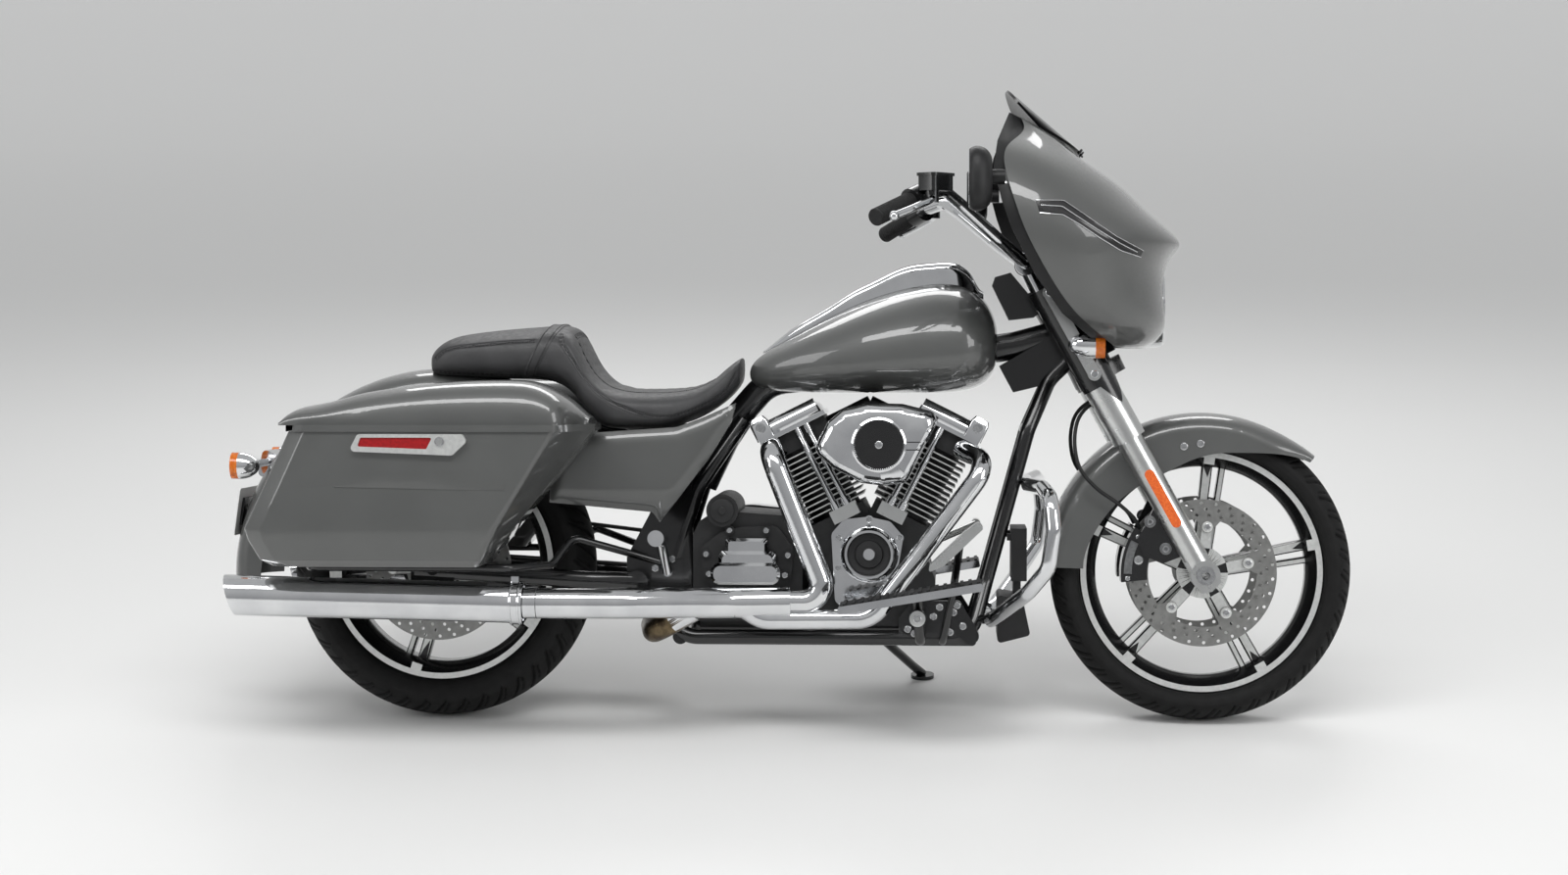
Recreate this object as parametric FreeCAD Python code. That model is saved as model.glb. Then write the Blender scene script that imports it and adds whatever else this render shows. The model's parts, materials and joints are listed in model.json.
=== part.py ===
import FreeCAD
import Part
import math
import os

# A touring cruiser motorcycle with a fork-mounted batwing fairing, hard
# saddlebags and an air-cooled V-twin, parked leaning left on its side stand.
#
# Every piece is drawn with the bike upright, in millimetres: X runs forward from
# the rear axle, Y to the rider's left, Z up from the floor. The last step leans
# the whole bike about the tyres' line and puts the origin on the floor under the
# middle of its bounding box.

V = FreeCAD.Vector

# Driving dimensions of the rolling chassis
wheelbase = 1625.0
rake_deg = 26.0
fork_deg = 29.0
trail = 170.0
lean_deg = 10.0
axle_radius = 12.5
axle_bore_radius = 8.5

front_tyre_radius = 319.0
front_tyre_width = 130.0
front_rim_radius = 256.0
front_rim_width = 94.0
front_crown_radius = 87.0

rear_tyre_radius = 327.0
rear_tyre_width = 180.0
rear_rim_radius = 243.0
rear_rim_width = 140.0
rear_crown_radius = 130.0
tyre_wall = 8.0
tyre_tread = 13.0
flange_width = 7.0
flange_height = 6.0

# Clearances
seat_gap = 0.3
running_gap = 0.3
moving_gap = 6.0

# Wheels
spoke_pairs = 5
front_spoke_start_deg = 10.4
rear_spoke_start_deg = -36.0
hub_radius = 42.0
spoke_hub_half = 21.0
spoke_rim_half = 15.0
tab_length = 27.0
disc_radius = 156.0
disc_inner_radius = 115.0
disc_thickness = 5.0
disc_bolt_circle = 98.0
disc_y = 75.0
caliper_reach = 24.0
caliper_span = 40.0
front_caliper_deg = 166.0
axle_boss_half = 30.0
rear_disc_y = 104.0
pulley_radius = 112.0
pulley_y = 118.0
pulley_width = 26.0
belt_thickness = 7.0
front_pulley_radius = 50.0
front_pulley_x = 590.0
front_pulley_z = 318.0

# Fork
fork_spacing = 125.0
slider_radius = 27.0
fork_tube_radius = 24.5
fork_cover_radius = 36.0
slider_top = 325.0
cover_top = 452.0
shroud_top = 690.0
shroud_radius = 39.0
stem_radius = 14.0
head_tube_radius = 32.0
clamp_thickness = 34.0
clamp_hub_radius = 40.0
ignition_half = 27.0

front_fender_half = 86.0
rear_fender_half = 112.0
rear_fender_crown = 46.0

# Frame
tube_radius = 16.0
guard_radius = 16.0
rail_y = 118.0
rail_z = 182.0
downtube_y = 62.0
backbone_radius = 30.0
downtube_high = (1256.0, 620.0)
downtube_low = (1168.0, 300.0)
post_y = 84.0
strut_y = 128.0
pivot_x = 430.0
gearbox_rear_x = 548.0
pan_front_x = 1050.0
tunnel_half = 44.0
neck_half = 30.0
shock_y = 186.0
shock_top_x = 88.0
shock_top_z = 560.0
shock_low_x = 26.0
shock_low_z = 340.0
side_cover_y = 168.0

# Engine
crank_x = 920.0
crank_z = 299.0
vee_half_deg = 26.5
cylinder_radius = 56.0
fin_half = 74.0
fin_count = 12
fin_thickness = 3.0
fin_first = 172.0
fin_pitch = 12.2
case_half_width = 112.0
port_y = 101.0
tappet_across = 22.0
tube_spread = 13.0
port_neck = 14.0
primary_y = 206.0
cam_x = 922.0
cam_z = 362.0
gear_bolts = [(627, 410), (704, 410), (577, 360), (750, 358), (583, 318), (744, 316)]

# Bodywork
bag_outer_y = 455.0
bag_inner_y = 215.0
bag_wall = 3.5
bag_floor_z = 350.0
bag_top_z = 625.0
lid_flange = 14.0
lid_lip = 5.0
silencer_y = 300.0
silencer_radius = 42.0
silencer_wall = 3.0
sheet_wall = 3.0
tail_x = -452.0


def fork_point(s, y=0.0):
    """A point s millimetres up the fork leg from the front axle."""
    a = math.radians(fork_deg)
    return V(wheelbase - s * math.sin(a), y, front_tyre_radius + s * math.cos(a))


def steer_point(z, y=0.0):
    """The point of the steering axis at height z."""
    x = wheelbase + trail - z * math.tan(math.radians(rake_deg))
    return V(x, y, z)


def fork_offset(s, off, y):
    """s up the fork leg and off forward of its axis, square to it."""
    a = math.radians(fork_deg)
    return fork_point(s, y) + V(math.cos(a), 0, math.sin(a)) * off


fork_up = V(-math.sin(math.radians(fork_deg)), 0, math.cos(math.radians(fork_deg)))
steer_up = V(-math.sin(math.radians(rake_deg)), 0, math.cos(math.radians(rake_deg)))
steer_forward = V(steer_up.z, 0, -steer_up.x)
Y_AXIS = V(0, 1, 0)
X_AXIS = V(1, 0, 0)
Z_AXIS = V(0, 0, 1)


def cylinder(a, b, radius):
    """A round bar from a to b."""
    d = b - a
    return Part.makeCylinder(radius, d.Length, a, d)


def lug(a, b, radius, stop):
    """A round boss from a towards b that ends stop short of b."""
    d = b - a
    return cylinder(a, a + d * ((d.Length - stop) / d.Length), radius)


def cone(a, b, ra, rb):
    d = b - a
    return Part.makeCone(ra, rb, d.Length, a, d)


def box(x0, x1, y0, y1, z0, z1):
    return Part.makeBox(x1 - x0, y1 - y0, z1 - z0, V(x0, y0, z0))


def fuse(shapes):
    whole = shapes[0].multiFuse(shapes[1:]) if len(shapes) > 1 else shapes[0]
    return whole.removeSplitter()


def mirrored(shape):
    return shape.mirror(V(0, 0, 0), Y_AXIS)


def both_sides(shape):
    return Part.makeCompound([shape, mirrored(shape)])


def bent_path(points, radius):
    """Straight runs joined by tangent arcs, as one wire."""
    edges = []
    last = points[0]
    for i in range(1, len(points) - 1):
        p, q, r = points[i - 1], points[i], points[i + 1]
        d1 = (q - p).normalize()
        d2 = (r - q).normalize()
        turn = d1.getAngle(d2)
        if turn < 0.01:
            continue
        cut = radius * math.tan(turn / 2)
        cut = min(cut, 0.48 * (q - p).Length, 0.48 * (r - q).Length)
        a = q - d1 * cut
        b = q + d2 * cut
        rr = cut / math.tan(turn / 2)
        middle_dir = (d2 - d1).normalize()
        centre = q + middle_dir * (rr / math.cos(turn / 2))
        mid = centre - middle_dir * rr
        if (a - last).Length > 0.01:
            edges.append(Part.LineSegment(last, a).toShape())
        edges.append(Part.Arc(a, mid, b).toShape())
        last = b
    edges.append(Part.LineSegment(last, points[-1]).toShape())
    return Part.Wire(edges)


def pipe(points, radius, bend):
    """A solid round bar along straight runs with bends of one radius."""
    path = bent_path([V(*p) for p in points], bend)
    start = V(*points[0])
    along = V(*points[1]) - start
    profile = Part.Wire([Part.makeCircle(radius, start, along)])
    return path.makePipeShell([profile], True, True)


def polygon_solid(points_xz, y0, y1):
    """A flat plate: an outline in the bike's side view, from y0 to y1."""
    corners = [V(x, y0, z) for x, z in points_xz]
    wire = Part.makePolygon(corners + [corners[0]])
    return Part.Face(wire).extrude(V(0, y1 - y0, 0))


def rounded_outline(points, radius):
    """A closed wire through corner points in one plane, each corner rounded."""
    n = len(points)
    edges = []
    ends = []
    for i in range(n):
        p, q, r = points[i - 1], points[i], points[(i + 1) % n]
        d1 = (q - p).normalize()
        d2 = (r - q).normalize()
        turn = d1.getAngle(d2)
        cut = min(radius * math.tan(turn / 2), 0.45 * (q - p).Length, 0.45 * (r - q).Length)
        rr = cut / math.tan(turn / 2)
        toward = (d2 - d1).normalize()
        centre = q + toward * (rr / math.cos(turn / 2))
        ends.append((q - d1 * cut, centre - toward * rr, q + d2 * cut))
    for i in range(n):
        a, m, b = ends[i]
        edges.append(Part.Arc(a, m, b).toShape())
        nxt = ends[(i + 1) % n][0]
        edges.append(Part.LineSegment(b, nxt).toShape())
    return Part.Wire(edges)


def rounded_plate(points_xz, y0, y1, radius):
    """A plate with rounded corners in the side view."""
    wire = rounded_outline([V(x, y0, z) for x, z in points_xz], radius)
    return Part.Face(wire).extrude(V(0, y1 - y0, 0))


def egg_wire(x, half, low, mid, high, n_top=2.2, n_low=2.6, y0=0.0, count=28):
    """A closed section across the bike at x: widest at height mid."""
    points = []
    for i in range(count):
        t = 2 * math.pi * i / count
        c, s = math.cos(t), math.sin(t)
        n = n_top if s >= 0 else n_low
        y = half * math.copysign(abs(c) ** (2 / n), c)
        rise = (high - mid) if s >= 0 else (mid - low)
        z = mid + rise * math.copysign(abs(s) ** (2 / n), s)
        points.append(V(x, y0 + y, z))
    curve = Part.BSplineCurve()
    curve.interpolate(points, True)
    return Part.Wire([curve.toShape()])


def loft(wires, ruled=False):
    return Part.makeLoft(wires, True, ruled)


def revolve_about_y(points_yr, x, z):
    """A closed outline of (y, radius) points turned about a line along Y."""
    corners = [V(x, y, z + r) for y, r in points_yr]
    wire = Part.makePolygon(corners + [corners[0]])
    return Part.Face(wire).revolve(V(x, 0, z), Y_AXIS, 360)


def turned_profile(x, z, points_yr):
    """A closed solid of revolution about a line along Y, from its half section."""
    corners = [V(x, y, z + r) for y, r in points_yr]
    wire = Part.makePolygon(corners + [corners[0]])
    return Part.Face(wire).revolve(V(x, 0, z), Y_AXIS, 360)


def disc(x, z, y0, y1, radius):
    return Part.makeCylinder(radius, y1 - y0, V(x, y0, z), Y_AXIS)


# Wheels and brakes

def traced(place, start, steps):
    """A closed wire from steps of one point (a line) or two (an arc)."""
    edges = []
    last = place(*start)
    for step in steps:
        end = place(*step[-2:])
        if len(step) == 2:
            edges.append(Part.LineSegment(last, end).toShape())
        else:
            edges.append(Part.Arc(last, place(*step[:2]), end).toShape())
        last = end
    return Part.Wire(edges)


def circle_centre(a, b, c):
    """The centre of the circle through three (y, r) points."""
    d = 2 * (a[0] * (b[1] - c[1]) + b[0] * (c[1] - a[1]) + c[0] * (a[1] - b[1]))
    qa, qb, qc = (p[0] ** 2 + p[1] ** 2 for p in (a, b, c))
    return ((qa * (b[1] - c[1]) + qb * (c[1] - a[1]) + qc * (a[1] - b[1])) / d,
            (qa * (c[0] - b[0]) + qb * (a[0] - c[0]) + qc * (b[0] - a[0])) / d)


def tyre(x, radius, width, rim_radius, rim_width, crown_radius):
    """A radial tyre: round crown, bulging walls and an open carcass."""
    half = width / 2
    shoulder = half - 6
    top = radius - crown_radius + math.sqrt(crown_radius ** 2 - shoulder ** 2)
    bead = rim_width / 2 - flange_width - seat_gap
    foot = rim_radius - flange_height + seat_gap
    neck = rim_radius + 3
    bulge = rim_radius + 0.42 * (radius - rim_radius)
    w = tyre_wall
    cy, cr = circle_centre((shoulder, top), (half, bulge), (bead, neck))
    outer = math.hypot(shoulder - cy, top - cr)
    inner = outer - w
    inner_neck = cr - math.sqrt(inner ** 2 - (bead - w - cy) ** 2)
    wall_y = cy + inner
    corner_y = cy + (shoulder - cy) * inner / outer
    corner_r = cr + (top - cr) * inner / outer
    steps = [
        (0, radius, shoulder, top), (half, bulge, bead, neck), (bead, foot), (bead - w, foot),
        (bead - w, inner_neck), (wall_y, cr, corner_y, corner_r), (0, radius - tyre_tread, -corner_y, corner_r),
        (-wall_y, cr, w - bead, inner_neck), (w - bead, foot), (-bead, foot), (-bead, neck),
        (-half, bulge, -shoulder, top)]
    wire = traced(lambda y, r: V(x, y, radius + r), (-shoulder, top), steps)
    return Part.Face(wire).revolve(V(x, 0, radius), Y_AXIS, 360)


def rim(x, z, rim_radius, rim_width):
    """A cast rim barrel with two flanges and a dropped centre."""
    half = rim_width / 2
    seat = rim_radius - flange_height
    inside = half - flange_width
    profile = [
        (-half, rim_radius), (-inside, rim_radius), (-inside, seat),
        (-half + 26, seat - 2), (-half + 34, seat - 18), (half - 34, seat - 18),
        (half - 26, seat - 2), (inside, seat), (inside, rim_radius), (half, rim_radius),
        (half, rim_radius - 12), (half - 10, seat - 14), (half - 32, seat - 27),
        (-half + 32, seat - 27), (-half + 10, seat - 14), (-half, rim_radius - 12),
    ]
    return revolve_about_y(profile, x, z)


def turned(shape, x, z, degrees):
    """Turned about the wheel's axle, counterclockwise as seen from the right."""
    copy = shape.copy()
    copy.rotate(V(x, 0, z), Y_AXIS, -degrees)
    return copy


def spoke_pair(x, z, rim_radius, rim_width):
    """A wide and a narrow bar side by side, and the tabs that hold the rim."""
    outer_r = rim_radius - 24
    pieces = []
    for inner0, inner1, outer0, outer1 in ((2, 20, 4, 27), (-19, -6, -24, -10)):
        wires = []
        for r, low, high, half in ((hub_radius - 8, inner0, inner1, spoke_hub_half),
                                   (outer_r, outer0, outer1, spoke_rim_half)):
            corners = [V(x + r, -half, z + low + 3), V(x + r, -half + 5, z + low), V(x + r, half - 5, z + low),
                       V(x + r, half, z + low + 3), V(x + r, half, z + high - 3), V(x + r, half - 5, z + high),
                       V(x + r, -half + 5, z + high), V(x + r, -half, z + high - 3)]
            wires.append(Part.makePolygon(corners + [corners[0]]))
        pieces.append(loft(wires, True))
    for side in (-1, 1):
        y0, y1 = sorted((side * rim_width / 2, side * (rim_width / 2 - 12)))
        tip = rim_radius - flange_height - 2.5
        pieces.append(box(x + rim_radius - tab_length, x + tip, y0, y1, z + 4, z + 27))
    return pieces


def wheel(x, z, rim_radius, rim_width, start_deg, hub_half, flange_y):
    """Rim, five split spokes, hub and the arms that carry the brake discs."""
    pieces = [rim(x, z, rim_radius, rim_width), disc(x, z, -hub_half, hub_half, hub_radius)]
    for i in range(spoke_pairs):
        a = start_deg + 360.0 * i / spoke_pairs
        for bar in spoke_pair(x, z, rim_radius, rim_width):
            pieces.append(turned(bar, x, z, a))
    for side_y in flange_y:
        y0 = side_y - 9 if side_y > 0 else side_y
        pieces.append(disc(x, z, y0, y0 + 9, hub_radius + 12))
        for i in range(spoke_pairs):
            a = start_deg + 2 + 360.0 * i / spoke_pairs
            arm = box(x + hub_radius, x + disc_bolt_circle, y0, y0 + 9, z - 11, z + 11)
            arm = arm.fuse(disc(x + disc_bolt_circle, z, y0, y0 + 9, 12))
            pieces.append(turned(arm, x, z, a))
    body = fuse(pieces)
    bore = disc(x, z, -hub_half - 1, hub_half + 1, axle_radius + running_gap)
    return body.cut(bore)


def brake_disc(x, z, y, start_deg):
    """A floating disc: drilled band with five lugs to the carrier bolts."""
    y0 = y - disc_thickness / 2
    band = disc(x, z, y0, y0 + disc_thickness, disc_radius)
    band = band.cut(disc(x, z, y0 - 1, y0 + disc_thickness + 1, disc_inner_radius))
    lugs = []
    for i in range(spoke_pairs):
        a = start_deg + 2 + 360.0 * i / spoke_pairs
        corners = [(disc_bolt_circle - 4, 12), (disc_inner_radius + 6, 26),
                   (disc_inner_radius + 6, -26), (disc_bolt_circle - 4, -12)]
        lug = polygon_solid([(x + r, z + t) for r, t in corners], y0, y0 + disc_thickness)
        lug = lug.fuse(disc(x + disc_bolt_circle, z, y0, y0 + disc_thickness, 13))
        lugs.append(turned(lug, x, z, a))
    return fuse([band] + lugs)


def caliper(x, z, y, centre_deg, span_deg, reach):
    """Two halves that straddle the disc, bridged outside its edge."""
    side = 1 if y > 0 else -1
    inner_r = disc_inner_radius + 4
    outer_r = disc_radius + 18
    bridge_r = disc_radius + moving_gap

    def sector(r0, r1, ya, yb):
        ya, yb = sorted((ya, yb))
        ring = disc(x, z, ya, yb, r1).cut(disc(x, z, ya - 1, yb + 1, r0))
        wedge_r = r1 * 1.6
        a0 = math.radians(centre_deg - span_deg / 2)
        a1 = math.radians(centre_deg + span_deg / 2)
        corners = [(x, z), (x + wedge_r * math.cos(a0), z + wedge_r * math.sin(a0)),
                   (x + wedge_r * math.cos(a1), z + wedge_r * math.sin(a1))]
        return ring.common(polygon_solid(corners, ya - 1, yb + 1))

    near = abs(y) + disc_thickness / 2 + moving_gap
    far = abs(y) - disc_thickness / 2 - moving_gap
    outer = sector(inner_r, outer_r, side * near, side * (near + reach))
    inner = sector(inner_r, outer_r, side * (far - 16), side * far)
    bridge = sector(bridge_r, outer_r, side * (far - 16), side * (near + reach))
    return fuse([outer, inner, bridge])


front_z = front_tyre_radius
rear_z = rear_tyre_radius


def front_wheel():
    return wheel(wheelbase, front_z, front_rim_radius, front_rim_width,
                 front_spoke_start_deg, disc_y - disc_thickness / 2,
                 (disc_y - disc_thickness / 2, -disc_y + disc_thickness / 2))


def front_discs():
    return Part.makeCompound([
        brake_disc(wheelbase, front_z, side * disc_y, front_spoke_start_deg) for side in (-1, 1)])


def rear_wheel():
    return wheel(0, rear_z, rear_rim_radius, rear_rim_width, rear_spoke_start_deg,
                 rear_disc_y - disc_thickness / 2, (-rear_disc_y + disc_thickness / 2,))


def rear_disc_and_pulley():
    """The rear brake disc on the right and the belt pulley on the left."""
    y0 = pulley_y - pulley_width / 2
    inner = rear_disc_y - disc_thickness / 2 + seat_gap
    rim_ring = disc(0, rear_z, y0, y0 + pulley_width, pulley_radius)
    rim_ring = rim_ring.cut(disc(0, rear_z, y0 - 1, y0 + pulley_width + 1, pulley_radius - 14))
    centre = disc(0, rear_z, inner, inner + 14, 48)
    arms = []
    for i in range(spoke_pairs):
        arm = box(30, pulley_radius - 8, inner, inner + 14, rear_z - 12, rear_z + 12)
        arms.append(turned(arm, 0, rear_z, 360.0 * i / spoke_pairs))
    pulley = fuse([rim_ring, centre] + arms)
    pulley = pulley.cut(disc(0, rear_z, inner - 1, y0 + pulley_width + 1, axle_radius + running_gap))
    return Part.makeCompound([brake_disc(0, rear_z, -rear_disc_y, rear_spoke_start_deg), pulley])


def drive_belt():
    """The toothed belt's loop round both pulleys, drawn plain."""
    y0 = pulley_y - pulley_width / 2 + 1
    y1 = y0 + pulley_width - 2

    def loop(extra):
        r0 = pulley_radius + running_gap + 0.2 + extra
        r1 = front_pulley_radius + running_gap + extra
        dx, dz = front_pulley_x, front_pulley_z - rear_z
        span = math.hypot(dx, dz)
        base = math.atan2(dz, dx)
        tip = math.acos((r0 - r1) / span)
        points = []
        for sign in (1, -1):
            a = base + sign * tip
            n = (math.cos(a), math.sin(a))
            points.append(((r0 * n[0], rear_z + r0 * n[1]),
                           (front_pulley_x + r1 * n[0], front_pulley_z + r1 * n[1])))
        (ra, fa), (rb, fb) = points
        back = (-r0 * math.cos(base), rear_z - r0 * math.sin(base))
        front = (front_pulley_x + r1 * math.cos(base), front_pulley_z + r1 * math.sin(base))

        def p(q):
            return V(q[0], y0, q[1])

        edges = [Part.Arc(p(ra), p(back), p(rb)).toShape(), Part.LineSegment(p(rb), p(fb)).toShape(),
                 Part.Arc(p(fb), p(front), p(fa)).toShape(), Part.LineSegment(p(fa), p(ra)).toShape()]
        return Part.Face(Part.Wire(edges)).extrude(V(0, y1 - y0, 0))

    return loop(belt_thickness).cut(loop(0))


# Front end

def fork_legs():
    """Sliders with axle holders, and the bright covers above them."""
    legs = []
    for side in (-1, 1):
        y = side * fork_spacing
        slider = cylinder(fork_point(-20, y), fork_point(slider_top, y), slider_radius)
        cover = cylinder(fork_point(slider_top, y), fork_point(cover_top, y), fork_cover_radius)
        holder = disc(wheelbase, front_z, y - axle_boss_half, y + axle_boss_half, 31)
        ear_y = disc_y + disc_thickness / 2 + moving_gap + caliper_reach + seat_gap
        ear = [fork_offset(t, off, side * ear_y) for t, off in
               ((52, 6), (62, -66), (96, -92), (132, -88), (150, -58), (196, 6))]
        plate = Part.Face(Part.makePolygon(ear + [ear[0]])).extrude(Y_AXIS * side * 12)
        bosses = []
        for t in (238, 286):
            c = fork_point(t, side * (front_fender_half + seat_gap))
            bosses.append(cylinder(c, c + Y_AXIS * side * 24, 11))
        block = [fork_offset(t, off, y - side * (axle_boss_half - 4)) for t, off in
                 ((44, -25), (44, 25), (-28, 23), (-37, -4), (-30, -25))]
        foot = Part.Face(Part.makePolygon(block + [block[0]])).extrude(Y_AXIS * side * (2 * axle_boss_half - 14))
        leg = fuse([slider, cover, holder, plate, foot] + bosses)
        legs.append(leg.cut(disc(wheelbase, front_z, y - 40, y + 40, axle_radius + seat_gap)))
    return Part.makeCompound(legs)


def front_axle():
    """A hollow axle with its nuts and the spacers beside the hub."""
    seat_y = fork_spacing + axle_boss_half + seat_gap
    half = seat_y + 8
    pieces = [disc(wheelbase, front_z, -half, half, axle_radius)]
    for side in (-1, 1):
        y0, y1 = sorted((side * seat_y, side * half))
        pieces.append(disc(wheelbase, front_z, y0, y1, 20))
        inner = disc_y - disc_thickness / 2 + running_gap
        y0, y1 = sorted((side * inner, side * (fork_spacing - axle_boss_half - seat_gap)))
        pieces.append(disc(wheelbase, front_z, y0, y1, 19))
    return fuse(pieces).cut(disc(wheelbase, front_z, -half - 1, half + 1, axle_bore_radius))


upper_clamp_z = 925.0
lower_clamp_z = 752.0


def clamp_plate(z):
    """A fork yoke: wide at the tubes, narrow at the stem."""
    stem = steer_point(z)
    low = fork_point(0)
    s = (stem - low).dot(steer_up) / fork_up.dot(steer_up)
    half = steer_up * (clamp_thickness / 2)
    hubs = [cylinder(stem - half, stem + half, 34)]
    for y in (-fork_spacing, fork_spacing):
        hubs.append(cylinder(fork_point(s, y) - half, fork_point(s, y) + half, clamp_hub_radius))
    reach = (stem - fork_point(s)).Length
    base = fork_point(s) - half
    outline = [(fork_spacing, -28), (fork_spacing, 26), (26, reach + 22), (-26, reach + 22),
               (-fork_spacing, 26), (-fork_spacing, -28)]
    corners = [base + Y_AXIS * y + steer_forward * r for y, r in outline]
    web = Part.Face(Part.makePolygon(corners + [corners[0]])).extrude(half * 2)
    return hubs + [web]


def triple_clamps():
    """Both yokes, the stem, the fairing stays and the upper tubes' shrouds."""
    pieces = clamp_plate(upper_clamp_z) + clamp_plate(lower_clamp_z)
    pieces.append(cylinder(steer_point(lower_clamp_z), steer_point(upper_clamp_z), stem_radius))
    for y in (-fork_spacing, fork_spacing):
        pieces.append(cylinder(fork_point(cover_top + seat_gap, y), fork_point(shroud_top, y),
                               shroud_radius))
    for y in (-45, 45):
        stay = steer_point(upper_clamp_z, y) + steer_forward * 4
        pieces.append(cylinder(stay, V(headlamp_back_x - seat_gap, y, stay.z), 9))
    stem = steer_point(upper_clamp_z)
    side_view = [(-20, -12), (-96, -26), (-146, -8), (-146, 74), (-132, 88), (-98, 82), (-84, 26), (-20, 16)]
    corners = [stem + steer_forward * f + steer_up * u - Y_AXIS * ignition_half for f, u in side_view]
    pieces.append(Part.Face(Part.makePolygon(corners + [corners[0]])).extrude(Y_AXIS * 2 * ignition_half))
    return fuse(pieces)


def fender_section(cx, cz, angle_deg, outer_r, skirt_r, half, wall, crown):
    """A U across the wheel in the plane at angle_deg, open towards the axle."""
    a = math.radians(angle_deg)
    along = V(math.cos(a), 0, math.sin(a))
    centre = V(cx, 0, cz)

    def p(y, r):
        return centre + along * r + Y_AXIS * y

    def arch(h, rise):
        points = []
        for i in range(13):
            t = math.pi * i / 12
            c = math.cos(t)
            points.append(p(-h * math.copysign(abs(c) ** 0.8, c), shoulder + rise * math.sin(t) ** 0.8))
        curve = Part.BSplineCurve()
        curve.interpolate(points)
        return curve.toShape()

    shoulder = outer_r - crown
    inner = half - wall
    line = Part.LineSegment
    return Part.Wire([
        line(p(-half, skirt_r), p(-half, shoulder)).toShape(), arch(half, crown),
        line(p(half, shoulder), p(half, skirt_r)).toShape(),
        line(p(half, skirt_r), p(inner, skirt_r)).toShape(),
        line(p(inner, skirt_r), p(inner, shoulder)).toShape(), arch(inner, crown - wall),
        line(p(-inner, shoulder), p(-inner, skirt_r)).toShape(),
        line(p(-inner, skirt_r), p(-half, skirt_r)).toShape()])


front_fender_stations = [
    (46, 345, 325), (52, 342, 312), (60, 339, 292), (72, 338, 268), (84, 338, 254), (96, 338, 240),
    (108, 338, 228), (122, 337, 226), (136, 336, 232), (150, 335, 238), (163, 334, 246), (178, 333, 252)]


def front_fender():
    wires = []
    for a, outer, skirt in front_fender_stations:
        tip = max(0, 60 - a) / 14.0
        wires.append(fender_section(wheelbase, front_z, a, outer, skirt, front_fender_half - 22 * tip,
                                    sheet_wall, 40 - 24 * tip))
    return loft(wires)


# Batwing fairing: each row is a planar arch from the centre line to the edge
fairing_rows = [
    (1366, 1203, 1236, 200, 1272), (1425, 1156, 1212, 305, 1212), (1500, 1092, 1203, 372, 1150),
    (1552, 1046, 1222, 394, 1085), (1577, 1018, 1240, 395, 1036), (1556, 978, 1288, 372, 946),
    (1546, 890, 1345, 322, 868), (1534, 812, 1408, 232, 815), (1506, 794, 1440, 160, 795)]
fairing_wall = 4.0
rim_proud = 26.0
rim_inset = 7.3
mirror_stalk_radius = 15.0
screen_wall = 5.0


def fairing_row(row, inset, count=12, fullness=0.92):
    """Points of one arch, from the left edge over the nose to the right edge."""
    sx, sz, bx, by, bz = row
    d = V(bx - sx, 0, bz - sz)
    length = d.Length
    d.normalize()
    points = []
    for i in range(-count, count + 1):
        t = math.pi / 2 * i / count
        y = (by - inset) * math.copysign(abs(math.sin(t)) ** fullness, t)
        k = 1 - abs(math.cos(t)) ** fullness
        points.append(V(sx, 0, sz) + d * (inset + (length - inset) * k) - Y_AXIS * y)
    return points


def arch_wire(outer, inner):
    a = Part.BSplineCurve()
    a.interpolate(outer)
    b = Part.BSplineCurve()
    b.interpolate(inner)
    return Part.Wire([a.toShape(), Part.LineSegment(outer[-1], inner[-1]).toShape(), b.toShape(),
                      Part.LineSegment(inner[0], outer[0]).toShape()])


headlamp_z = 884.0
headlamp_radius = 88.0
headlamp_front_x = 1530.0
headlamp_back_x = 1462.0


def outer_fairing():
    shell = loft([arch_wire(fairing_row(r, 0), fairing_row(r, fairing_wall)) for r in fairing_rows])
    hole = cylinder(V(1440, 0, headlamp_z), V(1620, 0, headlamp_z), headlamp_radius + seat_gap)
    return shell.cut(hole)


def fairing_core(inset):
    """Everything the outer skin encloses, inset from its surface."""
    wires = []
    for row in fairing_rows:
        points = fairing_row(row, inset)
        curve = Part.BSplineCurve()
        curve.interpolate(points)
        wires.append(Part.Wire([curve.toShape(), Part.LineSegment(points[-1], points[0]).toShape()]))
    return loft(wires)


def fairing_rim(side):
    """The inner fairing's edge, which shows behind the outer skin."""
    wires = []
    for row in fairing_rows[:-1]:
        near = fairing_row(row, fairing_wall + rim_inset)
        edge = near[0] if side > 0 else near[-1]
        next_in = near[1] if side > 0 else near[-2]
        d = V(row[0] - row[2], 0, row[1] - row[4]).normalize()
        lean = (next_in - edge).normalize()
        lip = edge - d * rim_proud - Y_AXIS * side * 5
        deep = edge + lean * 44
        inner = Y_AXIS * side * -5
        corners = [lip, edge, deep, deep + inner, edge + inner * 1.4, lip + inner]
        wires.append(Part.makePolygon(corners + [corners[0]]))
    rim = loft(wires, True)
    stalk = cylinder(V(1150, side * 362, 1140), V(1260, side * 362, 1140), mirror_stalk_radius + 1)
    return rim.cut(stalk)


def inner_fairing():
    """The black dash behind the outer skin, a bulged wall across its mouth."""
    wires = []
    for sx, sz, bx, by, bz in fairing_rows:
        d = V(sx - bx, 0, sz - bz).normalize()
        edge = V(bx, 0, bz)

        def curve(setback):
            points = []
            for i in range(-8, 9):
                u = i / 8.0
                bulge = 6.0 + 26.0 * abs(u) ** 3
                points.append(edge + d * (bulge + setback) - Y_AXIS * (by * u))
            return points

        wires.append(arch_wire(curve(0), curve(8)))
    wall = loft(wires[:-1]).common(fairing_core(fairing_wall + seat_gap))
    wall = wall.cut(box(1100, 1600, -178, 178, 700, 1036)).cut(box(1100, 1600, -224, 224, 700, 872))
    wall = max(wall.Solids, key=lambda piece: piece.Volume)
    return fuse([wall] + [fairing_rim(side) for side in (-1, 1)])


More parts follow.
